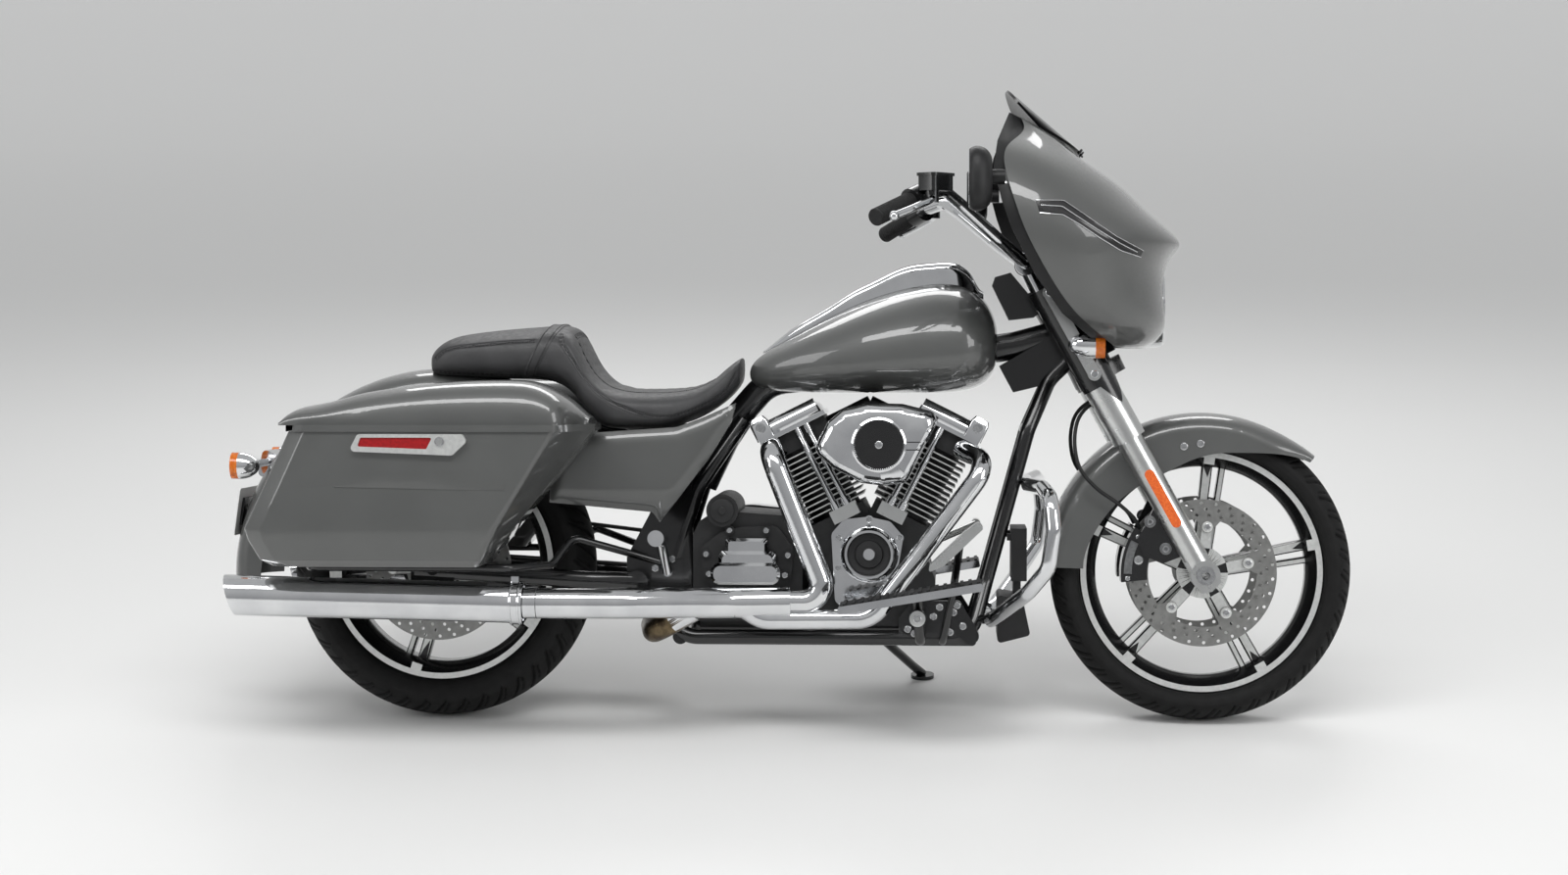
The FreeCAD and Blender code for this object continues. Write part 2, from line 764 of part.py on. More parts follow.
def windshield():
    """A short smoked deflector that stands on the fairing's top edge."""
    wires = []
    for p in fairing_row(fairing_rows[0], 0)[2:-2]:
        k = (p.y / 190.0) ** 2
        low = p + V(0.2, 0, 0.4)
        high = V(1208 + 20 * k, p.y * 0.97, 1340 - 36 * k)
        d = (high - low).normalize()
        n = V(d.z, 0, -d.x).normalize()
        corners = [low, high, high + n * screen_wall, low + n * screen_wall]
        wires.append(Part.makePolygon(corners + [corners[0]]))
    return loft(wires)


def headlamp():
    """A round lamp: bucket, bright rim and domed lens in one closed body."""
    bucket = cylinder(V(headlamp_back_x, 0, headlamp_z), V(headlamp_front_x, 0, headlamp_z), headlamp_radius)
    dome = Part.makeSphere(260, V(headlamp_front_x - 242, 0, headlamp_z))
    lens = dome.common(cylinder(V(headlamp_front_x, 0, headlamp_z), V(1600, 0, headlamp_z), headlamp_radius))
    return fuse([bucket, lens])


signal_y = 186.0
signal_z = 801.0
signal_x = 1336.0


def bullet_lamp(x0, x1, y, z, radius, facing):
    """A bullet turn signal: pointed shell, short lens drum."""
    length = x1 - x0
    points = []
    steps = 8
    for i in range(steps + 1):
        u = i / steps
        points.append((u * length * 0.74, radius * math.sqrt(1 - (1 - u) ** 2) if i else 0.0))
    base = x0 if facing > 0 else x1
    curve = Part.BSplineCurve()
    curve.interpolate([V(base + facing * a, y, z + r) for a, r in points])
    a = points[-1]
    edges = [curve.toShape(),
             Part.LineSegment(V(base + facing * a[0], y, z + radius), V(base + facing * length, y, z + radius)).toShape(),
             Part.LineSegment(V(base + facing * length, y, z + radius), V(base + facing * length, y, z)).toShape(),
             Part.LineSegment(V(base + facing * length, y, z), V(base, y, z)).toShape()]
    return Part.Face(Part.Wire(edges)).revolve(V(base, y, z), X_AXIS, 360)


def front_lamps():
    """The headlamp and, on each fork leg, a turn signal with its bracket."""
    shapes = [headlamp()]
    for side in (-1, 1):
        y = side * signal_y
        out = Y_AXIS * side
        face = side * (fork_spacing + clamp_hub_radius + seat_gap)
        top = fork_point(676, face)
        low = fork_point(482, face)
        across = fork_up.cross(Y_AXIS).normalize() * 13
        corners = [top + across, low + across, low - across, top - across]
        plate = Part.Face(Part.makePolygon(corners + [corners[0]])).extrude(out * 7)
        pads = [cylinder(q, q + out * 9, 14) for q in (top, low)]
        stem_x = signal_x + 34
        root = V(fork_point(560).x, face + side * 3.5, fork_point(560).z)
        arm = cylinder(root + out * 3.5, V(stem_x, face + side * 9, signal_z), 8)
        stalk = cylinder(V(stem_x, face + side * 9, signal_z), V(stem_x, y, signal_z), 9)
        lamp = bullet_lamp(signal_x, signal_x + 76, y, signal_z, 28, 1)
        inboard = box(1000, 1800, *sorted((face, face - side * 60)), 500, 1100)
        shapes.append(fuse([lamp, plate, stalk, arm] + pads).cut(inboard))
    return Part.makeCompound(shapes)


bar_radius = 12.7
grip_radius = 17.0
bar_points = [(1252, 0, 972), (1250, 66, 974), (1190, 150, 1024), (1110, 212, 1094), (1078, 264, 1118)]
grip_inner = V(1028, 322, 1103)
grip_outer = V(941, 430, 1055)


def bar_tube(radius):
    """The left half of the bent bar."""
    tip = grip_inner + (grip_outer - grip_inner) * 0.45
    return pipe(bar_points + [tuple(grip_inner), tuple(tip)], radius, 48)


def handlebar():
    """A one-inch bar on two risers above the upper yoke."""
    half = bar_tube(bar_radius)
    rise = V(*bar_points[0]) - steer_point(upper_clamp_z)
    back = steer_forward * rise.dot(steer_forward)
    risers = []
    for y in (-45, 45):
        foot = steer_point(upper_clamp_z, y) + back + steer_up * (clamp_thickness / 2 + seat_gap)
        top = steer_point(upper_clamp_z, y) + back + steer_up * rise.dot(steer_up)
        risers.append(cylinder(foot, top, 16))
        risers.append(disc(bar_points[0][0], bar_points[0][2], y - 18, y + 18, 23))
    return fuse([half, mirrored(half)] + risers)


def hand_controls():
    """Grips, switch housings, reservoirs and levers, one set a side."""
    d = (grip_outer - grip_inner).normalize()
    start = grip_inner + d * 30
    grip = cylinder(start, grip_outer, grip_radius)
    housing = cylinder(grip_inner - d * 8, start, 25)
    ahead = d.cross(Z_AXIS).normalize()
    if ahead.x < 0:
        ahead = ahead * -1
    pivot = grip_inner + d * 4 + ahead * 36
    flat = V(d.x, d.y, 0).normalize()
    out = V(-flat.y, flat.x, 0)
    out = out if out.x > 0 else out * -1
    well = grip_inner - flat * 40 + out * 14 + V(0, 0, 10)
    corners = [well, well + flat * 66, well + flat * 66 + out * 46, well + out * 46]
    reservoir = Part.Face(rounded_outline(corners, 9)).extrude(V(0, 0, 30))
    rim = [well - flat * 3 - out * 3, well + flat * 69 - out * 3, well + flat * 69 + out * 49, well - flat * 3 + out * 49]
    lid = Part.Face(rounded_outline([q + V(0, 0, 30) for q in rim], 11)).extrude(V(0, 0, 6))
    arm = cylinder(grip_inner + d * 4, pivot, 12)
    knuckle = Part.makeCylinder(14.5, 26, pivot - V(0, 0, 13), Z_AXIS)
    lever = pipe([tuple(p) for p in (pivot, pivot + d * 30 + ahead * 22, pivot + d * 92 + ahead * 16,
                                     pivot + d * 134 + ahead * 8)], 7.5, 40)
    ball = Part.makeSphere(10, pivot + d * 136 + ahead * 8)
    left = fuse([grip, housing, reservoir, lid, arm, knuckle, lever, ball]).cut(bar_tube(bar_radius + seat_gap))
    return both_sides(left)


mirror_centre = V(1151, 382, 1135)


def mirrors():
    """Round-cornered shells on short stalks from the fairing's edge."""
    shells = []
    for x, half_y, half_z in ((1128, 48, 52), (1131, 60, 61), (1140, 66, 65), (1156, 64, 63),
                              (1168, 54, 54), (1175, 36, 38)):
        points = []
        for i in range(24):
            t = 2 * math.pi * i / 24
            c, s = math.cos(t), math.sin(t)
            points.append(V(x, mirror_centre.y + half_y * math.copysign(abs(c) ** 0.72, c),
                            mirror_centre.z + half_z * math.copysign(abs(s) ** 0.72, s)))
        curve = Part.BSplineCurve()
        curve.interpolate(points, True)
        shells.append(Part.Wire([curve.toShape()]))
    head = loft(shells)
    stalk = cylinder(V(1165, 362, 1140), V(1201.6, 362, 1140), mirror_stalk_radius)
    return both_sides(fuse([head, stalk]))


def front_calipers():
    return Part.makeCompound([
        caliper(wheelbase, front_z, side * disc_y, front_caliper_deg, caliper_span, caliper_reach)
        for side in (-1, 1)])


hose_radius = 4.0
hose_route = [(1362, 92, 655), (1351, 106, 600), (1361, 118, 540), (1400, 118, 497), (1448, 117, 466)]


def brake_hoses():
    """A hose a side, from under the lower yoke past the fender to the caliper's upper end."""
    s = (steer_point(lower_clamp_z) - fork_point(0)).dot(steer_up) / fork_up.dot(steer_up)
    top = fork_point(s, 80) - steer_forward * 12 - steer_up * (clamp_thickness / 2 + seat_gap)
    a = math.radians(front_caliper_deg - caliper_span / 2)
    end = V(wheelbase, disc_y + 18, front_z) + V(math.cos(a), 0, math.sin(a)) * (disc_radius + 8)
    off = V(math.sin(a), 0, -math.cos(a))
    come = (V(-0.42, 0.32, 0.85)).normalize()
    end = end + off * (hose_radius * math.sin(come.getAngle(off)) + seat_gap)
    left = pipe([tuple(top), tuple(top - steer_up * 30)] + hose_route + [tuple(end + come * 26), tuple(end)],
                hose_radius, 200)
    return both_sides(left)


# Frame, swingarm and suspension

def downtube_x(z):
    """Where the front downtubes' centre line is at height z."""
    (x0, z0), (x1, z1) = downtube_low, downtube_high
    return x0 + (z - z0) * (x1 - x0) / (z1 - z0)


def frame():
    """Twin-cradle tubular frame with its head, backbone and rear rails."""
    head_low = steer_point(lower_clamp_z + 26)
    head_top = steer_point(upper_clamp_z - 26)
    pieces = [cylinder(head_low, head_top, head_tube_radius),
              pipe([(1375, 0, 838), (1230, 0, 800), (800, 0, 734), (700, 0, 722), (628, 0, 640), (560, 0, 500)],
                   backbone_radius, 90)]
    dx, dz = downtube_high
    lx, lz = downtube_low
    for side in (-1, 1):
        cradle = pipe([(1384, side * 20, 806), (1302, side * 22, 726), (dx, side * downtube_y, dz), (lx, side * downtube_y, lz),
                       (1135, side * rail_y, rail_z), (524, side * rail_y, rail_z),
                       (492, side * post_y, 236), (492, side * post_y, 300),
                       (556, side * post_y, 500), (650, side * 40, 640)], tube_radius, 60)
        rail = pipe([(600, side * 40, 612), (430, side * 118, 592), (262, side * strut_y, 636),
                     (40, side * strut_y, 664), (-190, side * strut_y, 628)], 11, 60)
        drop = cylinder(V(shock_top_x, side * strut_y, 655), V(shock_top_x, side * strut_y, shock_top_z - 8), 10)
        shock_pin = cylinder(V(shock_top_x, side * strut_y, shock_top_z),
                             V(shock_top_x, side * (shock_y - 14 - seat_gap), shock_top_z), 9)
        bag_pin = cylinder(V(shock_top_x, side * strut_y, 604),
                           V(shock_top_x, side * (bag_inner_y - seat_gap), 604), 8)
        fender_pad = cylinder(V(-170, side * strut_y, 631), V(-170, side * (rear_fender_half + seat_gap), 631), 9)
        strut = pipe([(474, side * 96, 340), (300, side * 180, 396), (262, side * 236, 341.5),
                      (180, side * 320, 341.5), (-230, side * 320, 341.5), (-262, side * 150, 341.5),
                      (-262, side * strut_y, 400), (-186, side * strut_y, 624)], 8, 30)
        cover_pegs = [cylinder(V(430, side * 112, 592), V(430, side * (side_cover_y - seat_gap), 592), 7),
                      cylinder(V(505, side * 84, 600), V(505, side * (side_cover_y - seat_gap), 600), 7)]
        board_boss = cylinder(V(1030, side * rail_y, rail_z), V(1030, side * rail_y, rail_z + 4), tube_radius)
        neck = polygon_solid([(1196, 756), (1226, 700), (1292, 716), (1390, 800), (1366, 852), (1332, 846), (1286, 808)],
                             *sorted((side * 14, side * neck_half)))
        casting = rounded_plate([(404, 256), (404, 350), (452, 440), (500, 560), (544, 560), (544, 228), (460, 224)],
                                *sorted((side * 70, side * 98)), 10)
        casting = casting.cut(cylinder(V(pivot_x, side * 50, 300), V(pivot_x, side * 120, 300), 24 + seat_gap))
        plate = rounded_plate([(984, 167), (1147, 167), (1147, 206), (1112, 262), (1012, 262), (984, 226)],
                              *sorted((side * 122, side * (rail_y + tube_radius - 2))), 9)
        pieces += [cradle, rail, drop, shock_pin, bag_pin, fender_pad, strut, board_boss, neck, casting, plate]
        pieces += cover_pegs
    pieces.append(cylinder(V(dx, -downtube_y, dz), V(dx, downtube_y, dz), tube_radius))
    pieces.append(cylinder(V(1137, -rail_y, 186), V(1137, rail_y, 186), tube_radius))
    pieces.append(cylinder(V(520, -rail_y, rail_z), V(520, rail_y, rail_z), tube_radius))
    pieces.append(box(pivot_x + 24 + seat_gap, 524, -rail_y + 16, rail_y - 16, 274, 346))
    pieces.append(box(500, gearbox_rear_x - seat_gap, -60, 60, 282, 338))
    pieces.append(box(pan_front_x + seat_gap, 1137, -44, 44, 184, 210))
    for x in (790, 1120):
        z = 734 + (x - 800) * 66 / 430.0
        pieces.append(cylinder(V(x, -tunnel_half + seat_gap, z), V(x, tunnel_half - seat_gap, z), 13))
    body = fuse(pieces + stand_bracket())
    return body.cut(cylinder(head_low - steer_up * 12, head_top + steer_up * 12, stem_radius + running_gap))


def swingarm():
    """Two arms from the pivot to the axle, the axle and its nuts."""
    pieces = [cylinder(V(pivot_x, -150, 300), V(pivot_x, 150, 300), 24),
              disc(0, rear_z, -176, 176, axle_radius)]
    for side in (-1, 1):
        y = side * 152
        pieces.append(pipe([(pivot_x, side * 132, 300), (330, y, 305), (-40, y, rear_z)], 19, 60))
        pieces.append(box(-48, 44, y - 14, y + 14, rear_z - 26, rear_z + 26))
        pieces.append(cylinder(V(shock_low_x, y, shock_low_z),
                               V(shock_low_x, side * (shock_y - 14 - seat_gap), shock_low_z), 11))
    left = pulley_y + pulley_width / 2 + running_gap
    right = -rear_disc_y - disc_thickness / 2 - running_gap
    pieces.append(disc(0, rear_z, left, 140, 20))
    pieces.append(disc(0, rear_z, -140, right, 20))
    return fuse(pieces)


def rear_shocks():
    """Two air shocks beside the wheel."""
    a = V(shock_low_x, shock_y, shock_low_z)
    b = V(shock_top_x, shock_y, shock_top_z)
    body = fuse([cylinder(a + (b - a) * 0.42, a + (b - a) * 0.9, 23), cylinder(a, a + (b - a) * 0.5, 13),
                 disc(a.x, a.z, shock_y - 14, shock_y + 14, 15), disc(b.x, b.z, shock_y - 14, shock_y + 14, 15)])
    return both_sides(body)


# Engine

def vee_dir(side):
    a = math.radians(vee_half_deg) * side
    return V(math.sin(a), 0, math.cos(a))


def vee_point(side, s, across=0.0, y=0.0):
    """Up a cylinder's axis by s and towards the front by across."""
    d = vee_dir(side)
    e = V(d.z, 0, -d.x)
    return V(crank_x, y, crank_z) + d * s + e * across


def vee_block(side, s0, s1, a0, a1, y0, y1):
    corners = [vee_point(side, s0, a0, y0), vee_point(side, s0, a1, y0),
               vee_point(side, s1, a1, y0), vee_point(side, s1, a0, y0)]
    return Part.Face(Part.makePolygon(corners + [corners[0]])).extrude(V(0, y1 - y0, 0))


head_s = fin_first + fin_pitch * fin_count
head_height = 42.0
rocker_s = head_s + head_height
deck_s = 160.0
port_s = head_s + 20


def port_point(side, y):
    """On an exhaust port's axis, on the right of the head."""
    return vee_point(side, port_s, side * 51, y)


def cylinders():
    """Finned barrels and heads at the vee angle."""
    shapes = []
    for side in (-1, 1):
        pieces = [cylinder(vee_point(side, deck_s + seat_gap), vee_point(side, head_s + 1), cylinder_radius)]
        for i in range(fin_count):
            s = fin_first + fin_pitch * i
            fin = vee_block(side, s, s + fin_thickness, -fin_half, fin_half, -fin_half - 8, fin_half + 8)
            pieces.append(fin)
        pieces.append(vee_block(side, head_s, rocker_s, -fin_half + 4, fin_half - 4, -84, 84))
        pieces.append(cylinder(port_point(side, -60), port_point(side, -port_y), 18))
        shapes.append(fuse(pieces))
    return Part.makeCompound(shapes)


def rocker_covers():
    """Bright two-step covers on both heads."""
    shapes = []
    for side in (-1, 1):
        low = vee_block(side, rocker_s + seat_gap, rocker_s + 10, -76, 76, -100, 92)
        wires = []
        for s, half, y0, y1 in ((rocker_s + 9, 71, -98, 88), (rocker_s + 24, 69, -97, 86), (rocker_s + 36, 58, -90, 76)):
            corners = [vee_point(side, s, -half, y0), vee_point(side, s, half, y0),
                       vee_point(side, s, half, y1), vee_point(side, s, -half, y1)]
            wires.append(rounded_outline(corners, 10))
        body = loft(wires, True)
        reach = sorted((side * -66, side * 40))
        ridge = cylinder(vee_point(side, rocker_s + 18, reach[0], -78), vee_point(side, rocker_s + 18, reach[1], -78), 24)
        back = cylinder(vee_point(side, rocker_s + 14, -60, 52), vee_point(side, rocker_s + 14, 60, 52), 24)
        a0, a1 = sorted((side * 40, side * 80))
        wires = []
        for s, trim, top_trim in ((rocker_s + 8, 0, 0), (rocker_s + 44, 0, 0), (rocker_s + 56, 5, 12)):
            corners = [vee_point(side, s, a0 + trim, -103 + trim), vee_point(side, s, a1 - trim, -103 + trim),
                       vee_point(side, s, a1 - trim, -64 - trim), vee_point(side, s, a0 + trim, -64 - trim)]
            wires.append(rounded_outline(corners, 5))
        end = loft(wires, True)
        below = vee_block(side, rocker_s - 60, rocker_s + seat_gap, -100, 100, -140, 120)
        shapes.append(fuse([low, body, ridge, back, end]).cut(below))
    return Part.makeCompound(shapes)


def engine_case():
    """Crankcase with the cylinder decks and the oil pan below."""
    outline = [(810, 210), (1040, 205), (1062, 300), (1030, 390), (975, 425), (920, 438),
               (860, 425), (812, 392), (796, 300)]
    case = rounded_plate(outline, -case_half_width, case_half_width, 26)
    decks = [vee_block(side, 120, deck_s, -66, 66, -case_half_width, 78) for side in (-1, 1)]
    pan = box(560, pan_front_x, -96, 96, 200, 216)
    return fuse([case] + decks + [pan])


def transmission():
    """The gearbox case behind the engine, its sprocket and the starter."""
    x = gearbox_rear_x
    outline = [(x, 216.5), (780, 216.5), (780, 392), (744, 440), (640, 448), (x + 14, 430), (x, 400)]
    case = rounded_plate(outline, -125, 104, 12)
    starter = cylinder(V(612, -150, 452), V(612, 60, 452), 34)
    y1 = pulley_y + pulley_width / 2
    sprocket = disc(front_pulley_x, front_pulley_z, 104, y1, front_pulley_radius)
    return fuse([case, starter, sprocket])


def tappet_block(side, grow=0.0):
    """Where two lifters stand, on the case's right shoulder."""
    a0, a1 = sorted((-side * (tappet_across - 30), -side * (tappet_across + 30)))
    return vee_block(side, 142 - grow, 170 + grow, a0 - grow, a1 + grow,
                     -148 - grow, -case_half_width - seat_gap + grow)


def engine_covers():
    """Bright covers: cam chest on the right, gearbox end and primary."""
    y1 = -case_half_width - seat_gap
    outline = [(850, 256), (896, 246), (940, 280), (984, 340), (994, 398), (966, 430), (920, 440), (868, 434),
               (842, 404)]
    cam = rounded_plate(outline, -146, y1, 16)
    for side in (-1, 1):
        cam = cam.cut(tappet_block(side, seat_gap))
    cam = max(cam.Solids, key=lambda piece: piece.Volume)
    ring = turned_profile(cam_x, cam_z, [(-145, 0), (-145, 62), (-158, 60), (-170, 56), (-178, 51), (-178, 46),
                                         (-168, 43), (-166, 30), (-171, 28), (-171, 14), (-174, 12), (-174, 0)])
    bosses = [disc(cam_x + 72 * math.cos(math.radians(t)), cam_z + 72 * math.sin(math.radians(t)), -154, -145, 9)
              for t in (28, 90, 152, 205, 300)]
    cam_cover = fuse([cam, ring] + bosses)
    for side in (-1, 1):
        cam_cover = cam_cover.cut(tappet_block(side, seat_gap))
    cam_cover = max(cam_cover.Solids, key=lambda piece: piece.Volume)

    flange = rounded_plate([(570, 296), (756, 296), (762, 372), (728, 420), (650, 417), (608, 406), (564, 372)], -136,
                           -125 - seat_gap, 22)
    pads = [disc(x, z, -141, -135, 10) for x, z in gear_bolts]
    wires = []
    for y, trim in ((-135, 0), (-158, 0), (-166, 6)):
        wires.append(rounded_outline([V(620 + trim, y, 300), V(708 - trim, y, 300), V(708 - trim, y, 394 - trim),
                                      V(620 + trim, y, 394 - trim)], 6))
    upper = loft(wires, True)
    wires = []
    for y, trim in ((-135, 0), (-168, 0), (-176, 7)):
        wires.append(rounded_outline([V(606 + trim, y, 300), V(726 - trim, y, 300), V(726 - trim, y, 368 - trim),
                                      V(606 + trim, y, 368 - trim)], 12))
    middle = loft(wires, True)
    wires = []
    for y, trim in ((-135, 0), (-182, 0), (-190, 6)):
        wires.append(rounded_outline([V(590 + trim, y, 298 + trim), V(736 - trim, y, 298 + trim),
                                      V(736 - trim, y, 344 - trim), V(590 + trim, y, 344 - trim)], 22 - trim))
    lower = loft(wires, True)
    oval = rounded_plate([(602, 306), (724, 306), (724, 336), (602, 336)], -193, -189, 14)
    gear_cover = fuse([flange, upper, middle, lower, oval] + pads)

    near = case_half_width + seat_gap
    clear = pulley_y + pulley_width / 2 + moving_gap
    far = primary_y
    engine_end = disc(crank_x, 322, near, far, 102)
    clutch_end = disc(655, 334, clear, far, 116)
    web = polygon_solid([(655, 218), (920, 220), (920, 424), (655, 450)], clear, far)
    step = disc(655, 334, far, far + 12, 80)
    primary = fuse([engine_end, clutch_end, web, step])
    return Part.makeCompound([cam_cover, gear_cover, primary])


def pushrod_tubes():
    """Four bright tubes from the tappet blocks to the heads."""
    shapes = []
    for side in (-1, 1):
        pieces = [tappet_block(side)]
        for off in (-tube_spread, tube_spread):
            across = -side * (tappet_across + off)
            a = vee_point(side, 165, across, -132)
            b = vee_point(side, rocker_s - 1.5, across * 0.86, -92.5)
            pieces.append(cylinder(a, b, 6.5))
            pieces.append(cylinder(a, a + (b - a) * 0.1, 11))
            pieces.append(cylinder(a + (b - a) * 0.9, b, 8))
            middle = a + (b - a) * 0.52
            pieces.append(cylinder(middle, middle + (b - a) * 0.04, 8.5))
        shapes.append(fuse(pieces))
    return Part.makeCompound(shapes)


def air_cleaner():
    """A ham-can cover on its intake, with the manifold to both heads."""
    outline = [(806, 582), (836, 640), (868, 667), (920, 680), (992, 678), (1074, 658),
               (1040, 592), (1002, 514), (951, 508), (905, 514), (846, 546)]
    back = rounded_plate(outline, -206, -176, 22)
    wires = []
    for y, k in ((-206, 0.0), (-219, 0.02), (-229, 0.07), (-235, 0.15)):
        ring = [V(x + (944 - x) * k, y, z + (594 - z) * k * 1.4) for x, z in outline]
        wires.append(rounded_outline(ring, 22))
    front = loft(wires, True)
    centre = turned_profile(944, 594, [(-234, 0), (-234, 58), (-242, 57), (-244, 53), (-240, 49), (-239, 0)])
    pieces = [back, front, centre, cylinder(V(crank_x, -176, 640), V(crank_x, 0, 640), 26),
              cylinder(V(crank_x, 0, 640), V(crank_x, 0, 680), 22)]
    for side in (-1, 1):
        face = fin_half - 4 + seat_gap
        pieces.append(cylinder(vee_point(side, port_s, -side * face), vee_point(side, port_s, -side * (face + 100)), 16))
    return fuse(pieces)


def exhaust_pipes():
    """Both header pipes, the collector and the crossover to the left."""
    y = -212.0
    end_x = silencer_front_x + 1.1
    z = silencer_front_z
    necks = [cylinder(port_point(side, -port_y - seat_gap), port_point(side, -port_y - port_neck - 3), 17)
             for side in (-1, 1)]
    a = port_point(-1, -port_y - port_neck)
    b = port_point(1, -port_y - port_neck)
    rear = pipe([tuple(a), (a.x - 8, y, a.z + 2), (840, y, 266), (730, y, 266)], 25, 62)
    front = pipe([tuple(b), (b.x + 58, y, b.z - 22), (928, y, 230), (700, y, 228), (650, y, 258)], 21, 62)
    collector = pipe([(760, y, 264), (640, y, 262), (520, -262, 266), (420, -silencer_y, z), (end_x, -silencer_y, z)],
                     32, 120)
    crossover = pipe([(560, -240, 250), (474, -214, 200), (448, 0, 196), (452, 214, 200), (392, silencer_y, 258),
                      (300, silencer_y, z), (end_x, silencer_y, z)], 24, 80)
    return fuse([rear, front, collector, crossover] + necks)


silencer_front_x = 206.0
silencer_tip_x = -414.0
silencer_front_z = 268.0
silencer_tip_z = 282.0
silencer_bore_depth = 120.0


def silencers():
    """Slash-cut silencers, open at the tip."""
    a = V(silencer_front_x, silencer_y, silencer_front_z)
    b = V(silencer_tip_x, silencer_y, silencer_tip_z)
    d = (b - a).normalize()
    body = cylinder(a + d * 18, b, silencer_radius)
    neck = cone(a, a + d * 18, silencer_radius - 6, silencer_radius)
    bore = cylinder(b - d * silencer_bore_depth, b + d * 5, silencer_radius - silencer_wall)
    band = cylinder(a - d * 6, a + d * 17, silencer_radius + 2.5)
    band = band.cut(cylinder(a - d * 8, a, silencer_radius - 4))
    ear = box(a.x - 19, a.x - 3, silencer_y - 7, silencer_y + 7, a.z + silencer_radius - 2, a.z + silencer_radius + 13)
    shell = fuse([body, neck, band, ear]).cut(bore)
    slash = polygon_solid([(silencer_tip_x - 30, silencer_tip_z + 60), (silencer_tip_x - 30, silencer_tip_z - 60),
                           (silencer_tip_x + 30, silencer_tip_z - 60), (silencer_tip_x - 4, silencer_tip_z + 60)],
                          silencer_y - 60, silencer_y + 60)
    return both_sides(shell.cut(slash))


# Bodywork

tank_stations = [
    (658, 30, 726, 740, 752), (668, 52, 714, 742, 768), (692, 82, 705, 748, 786), (743, 118, 700, 758, 814),
    (800, 148, 699, 766, 845), (870, 176, 698, 774, 880), (945, 198, 698, 782, 910), (1020, 209, 698, 790, 930),
    (1085, 210, 700, 796, 935), (1130, 202, 706, 800, 924), (1160, 180, 718, 804, 902), (1180, 146, 738, 808, 872),
    (1190, 96, 766, 810, 842)]


def tank_shape(extra=0.0):
    return loft([egg_wire(x, half + extra, low - extra, mid, high + extra, 2.1, 2.5)
                 for x, half, low, mid, high in tank_stations])


def fuel_tank():
    """A teardrop tank with a tunnel for the backbone."""
    tunnel_wires = []
    for x, top in ((640, 775), (760, 795), (1000, 840), (1220, 868)):
        corners = [V(x, -tunnel_half, 650), V(x, tunnel_half, 650), V(x, tunnel_half, top), V(x, -tunnel_half, top)]
        tunnel_wires.append(Part.makePolygon(corners + [corners[0]]))
    tunnel = loft(tunnel_wires, True)
    return tank_shape().cut(tunnel)


console_stations = [
    (690, 24, 788), (720, 32, 812), (790, 38, 860), (850, 42, 896), (905, 46, 928), (955, 54, 953), (990, 60, 968),
    (1030, 62, 976), (1090, 60, 979), (1118, 54, 970), (1140, 46, 946), (1162, 34, 915)]


def console_shape(grow=0.0):
    return loft([egg_wire(x, half + grow, top - 90, top - 22, top + grow, 3.2, 8.0)
                 for x, half, top in console_stations])


door_x0 = 1006.0
door_x1 = 1108.0
door_half = 40.0
door_z = 962.0
door_gap = 1.5


def tank_console():
    """The bright console along the tank's top, deeper at the filler."""
    console = console_shape().cut(tank_shape(seat_gap))
    console = console.cut(box(door_x0, door_x1, -door_half, door_half, door_z, 1020))
    return max(console.Solids, key=lambda s: s.Volume)


def fuel_door():
    """The flush door over the filler cap, hinged at its front edge."""
    room = box(door_x0 + door_gap, door_x1 - door_gap, -door_half + door_gap, door_half - door_gap,
               door_z + seat_gap, 1020)
    return console_shape().common(room)


seat_stations = [
    (-20, 84, 742, 768, 782), (-8, 118, 730, 770, 800), (20, 138, 727, 774, 818), (70, 148, 726, 776, 828),
    (150, 154, 725, 778, 836), (225, 158, 722, 778, 842), (262, 162, 712, 772, 846), (290, 168, 690, 760, 838),
    (312, 176, 660, 730, 800), (338, 186, 632, 700, 752), (368, 194, 621, 680, 724), (420, 198, 618, 668, 709),
    (490, 190, 622, 666, 708), (550, 164, 640, 676, 716), (592, 138, 664, 700, 736), (626, 112, 692, 732, 764),
    (648, 84, 722, 756, 778)]


def seat():
    """A one-piece two-up seat, draped over the rear fender."""
    body = loft([egg_wire(x, half, low, mid, high, 2.8, 3.4) for x, half, low, mid, high in seat_stations])
    return body.cut(fender_core(seat_gap))


rear_fender_stations = [
    (64, 424, 372), (76, 424, 352), (90, 424, 345), (104, 424, 342), (118, 425, 342), (132, 428, 344),
    (146, 434, 350), (160, 442, 360), (172, 449, 372), (184, 454, 384)]


def rear_fender():
    wires = [fender_section(0, rear_z, a, outer, skirt, rear_fender_half, sheet_wall, rear_fender_crown)
             for a, outer, skirt in rear_fender_stations]
    return loft(wires)


def fender_core(grow):
    """The rear fender with its inside filled, grown all round."""
    wires = []
    h = rear_fender_half + grow
    for a, outer, skirt in [(40, rear_fender_stations[0][1], 0)] + rear_fender_stations:
        rad = math.radians(a)
        along = V(math.cos(rad), 0, math.sin(rad))
        base = V(0, 0, rear_z)
        shoulder = outer - rear_fender_crown
        points = []
        for i in range(13):
            t = math.pi * i / 12
            c = math.cos(t)
            y = -h * math.copysign(abs(c) ** 0.8, c)
            points.append(base + along * (shoulder + (rear_fender_crown + grow) * math.sin(t) ** 0.8) + Y_AXIS * y)
        curve = Part.BSplineCurve()
        curve.interpolate(points)
        low = base + along * 150
        edges = [curve.toShape(), Part.LineSegment(points[-1], low + Y_AXIS * h).toShape(),
                 Part.LineSegment(low + Y_AXIS * h, low - Y_AXIS * h).toShape(),
                 Part.LineSegment(low - Y_AXIS * h, points[0]).toShape()]
        wires.append(Part.Wire(edges))
    return loft(wires)


lamp_x = -392.0
lamp_z = 546.0


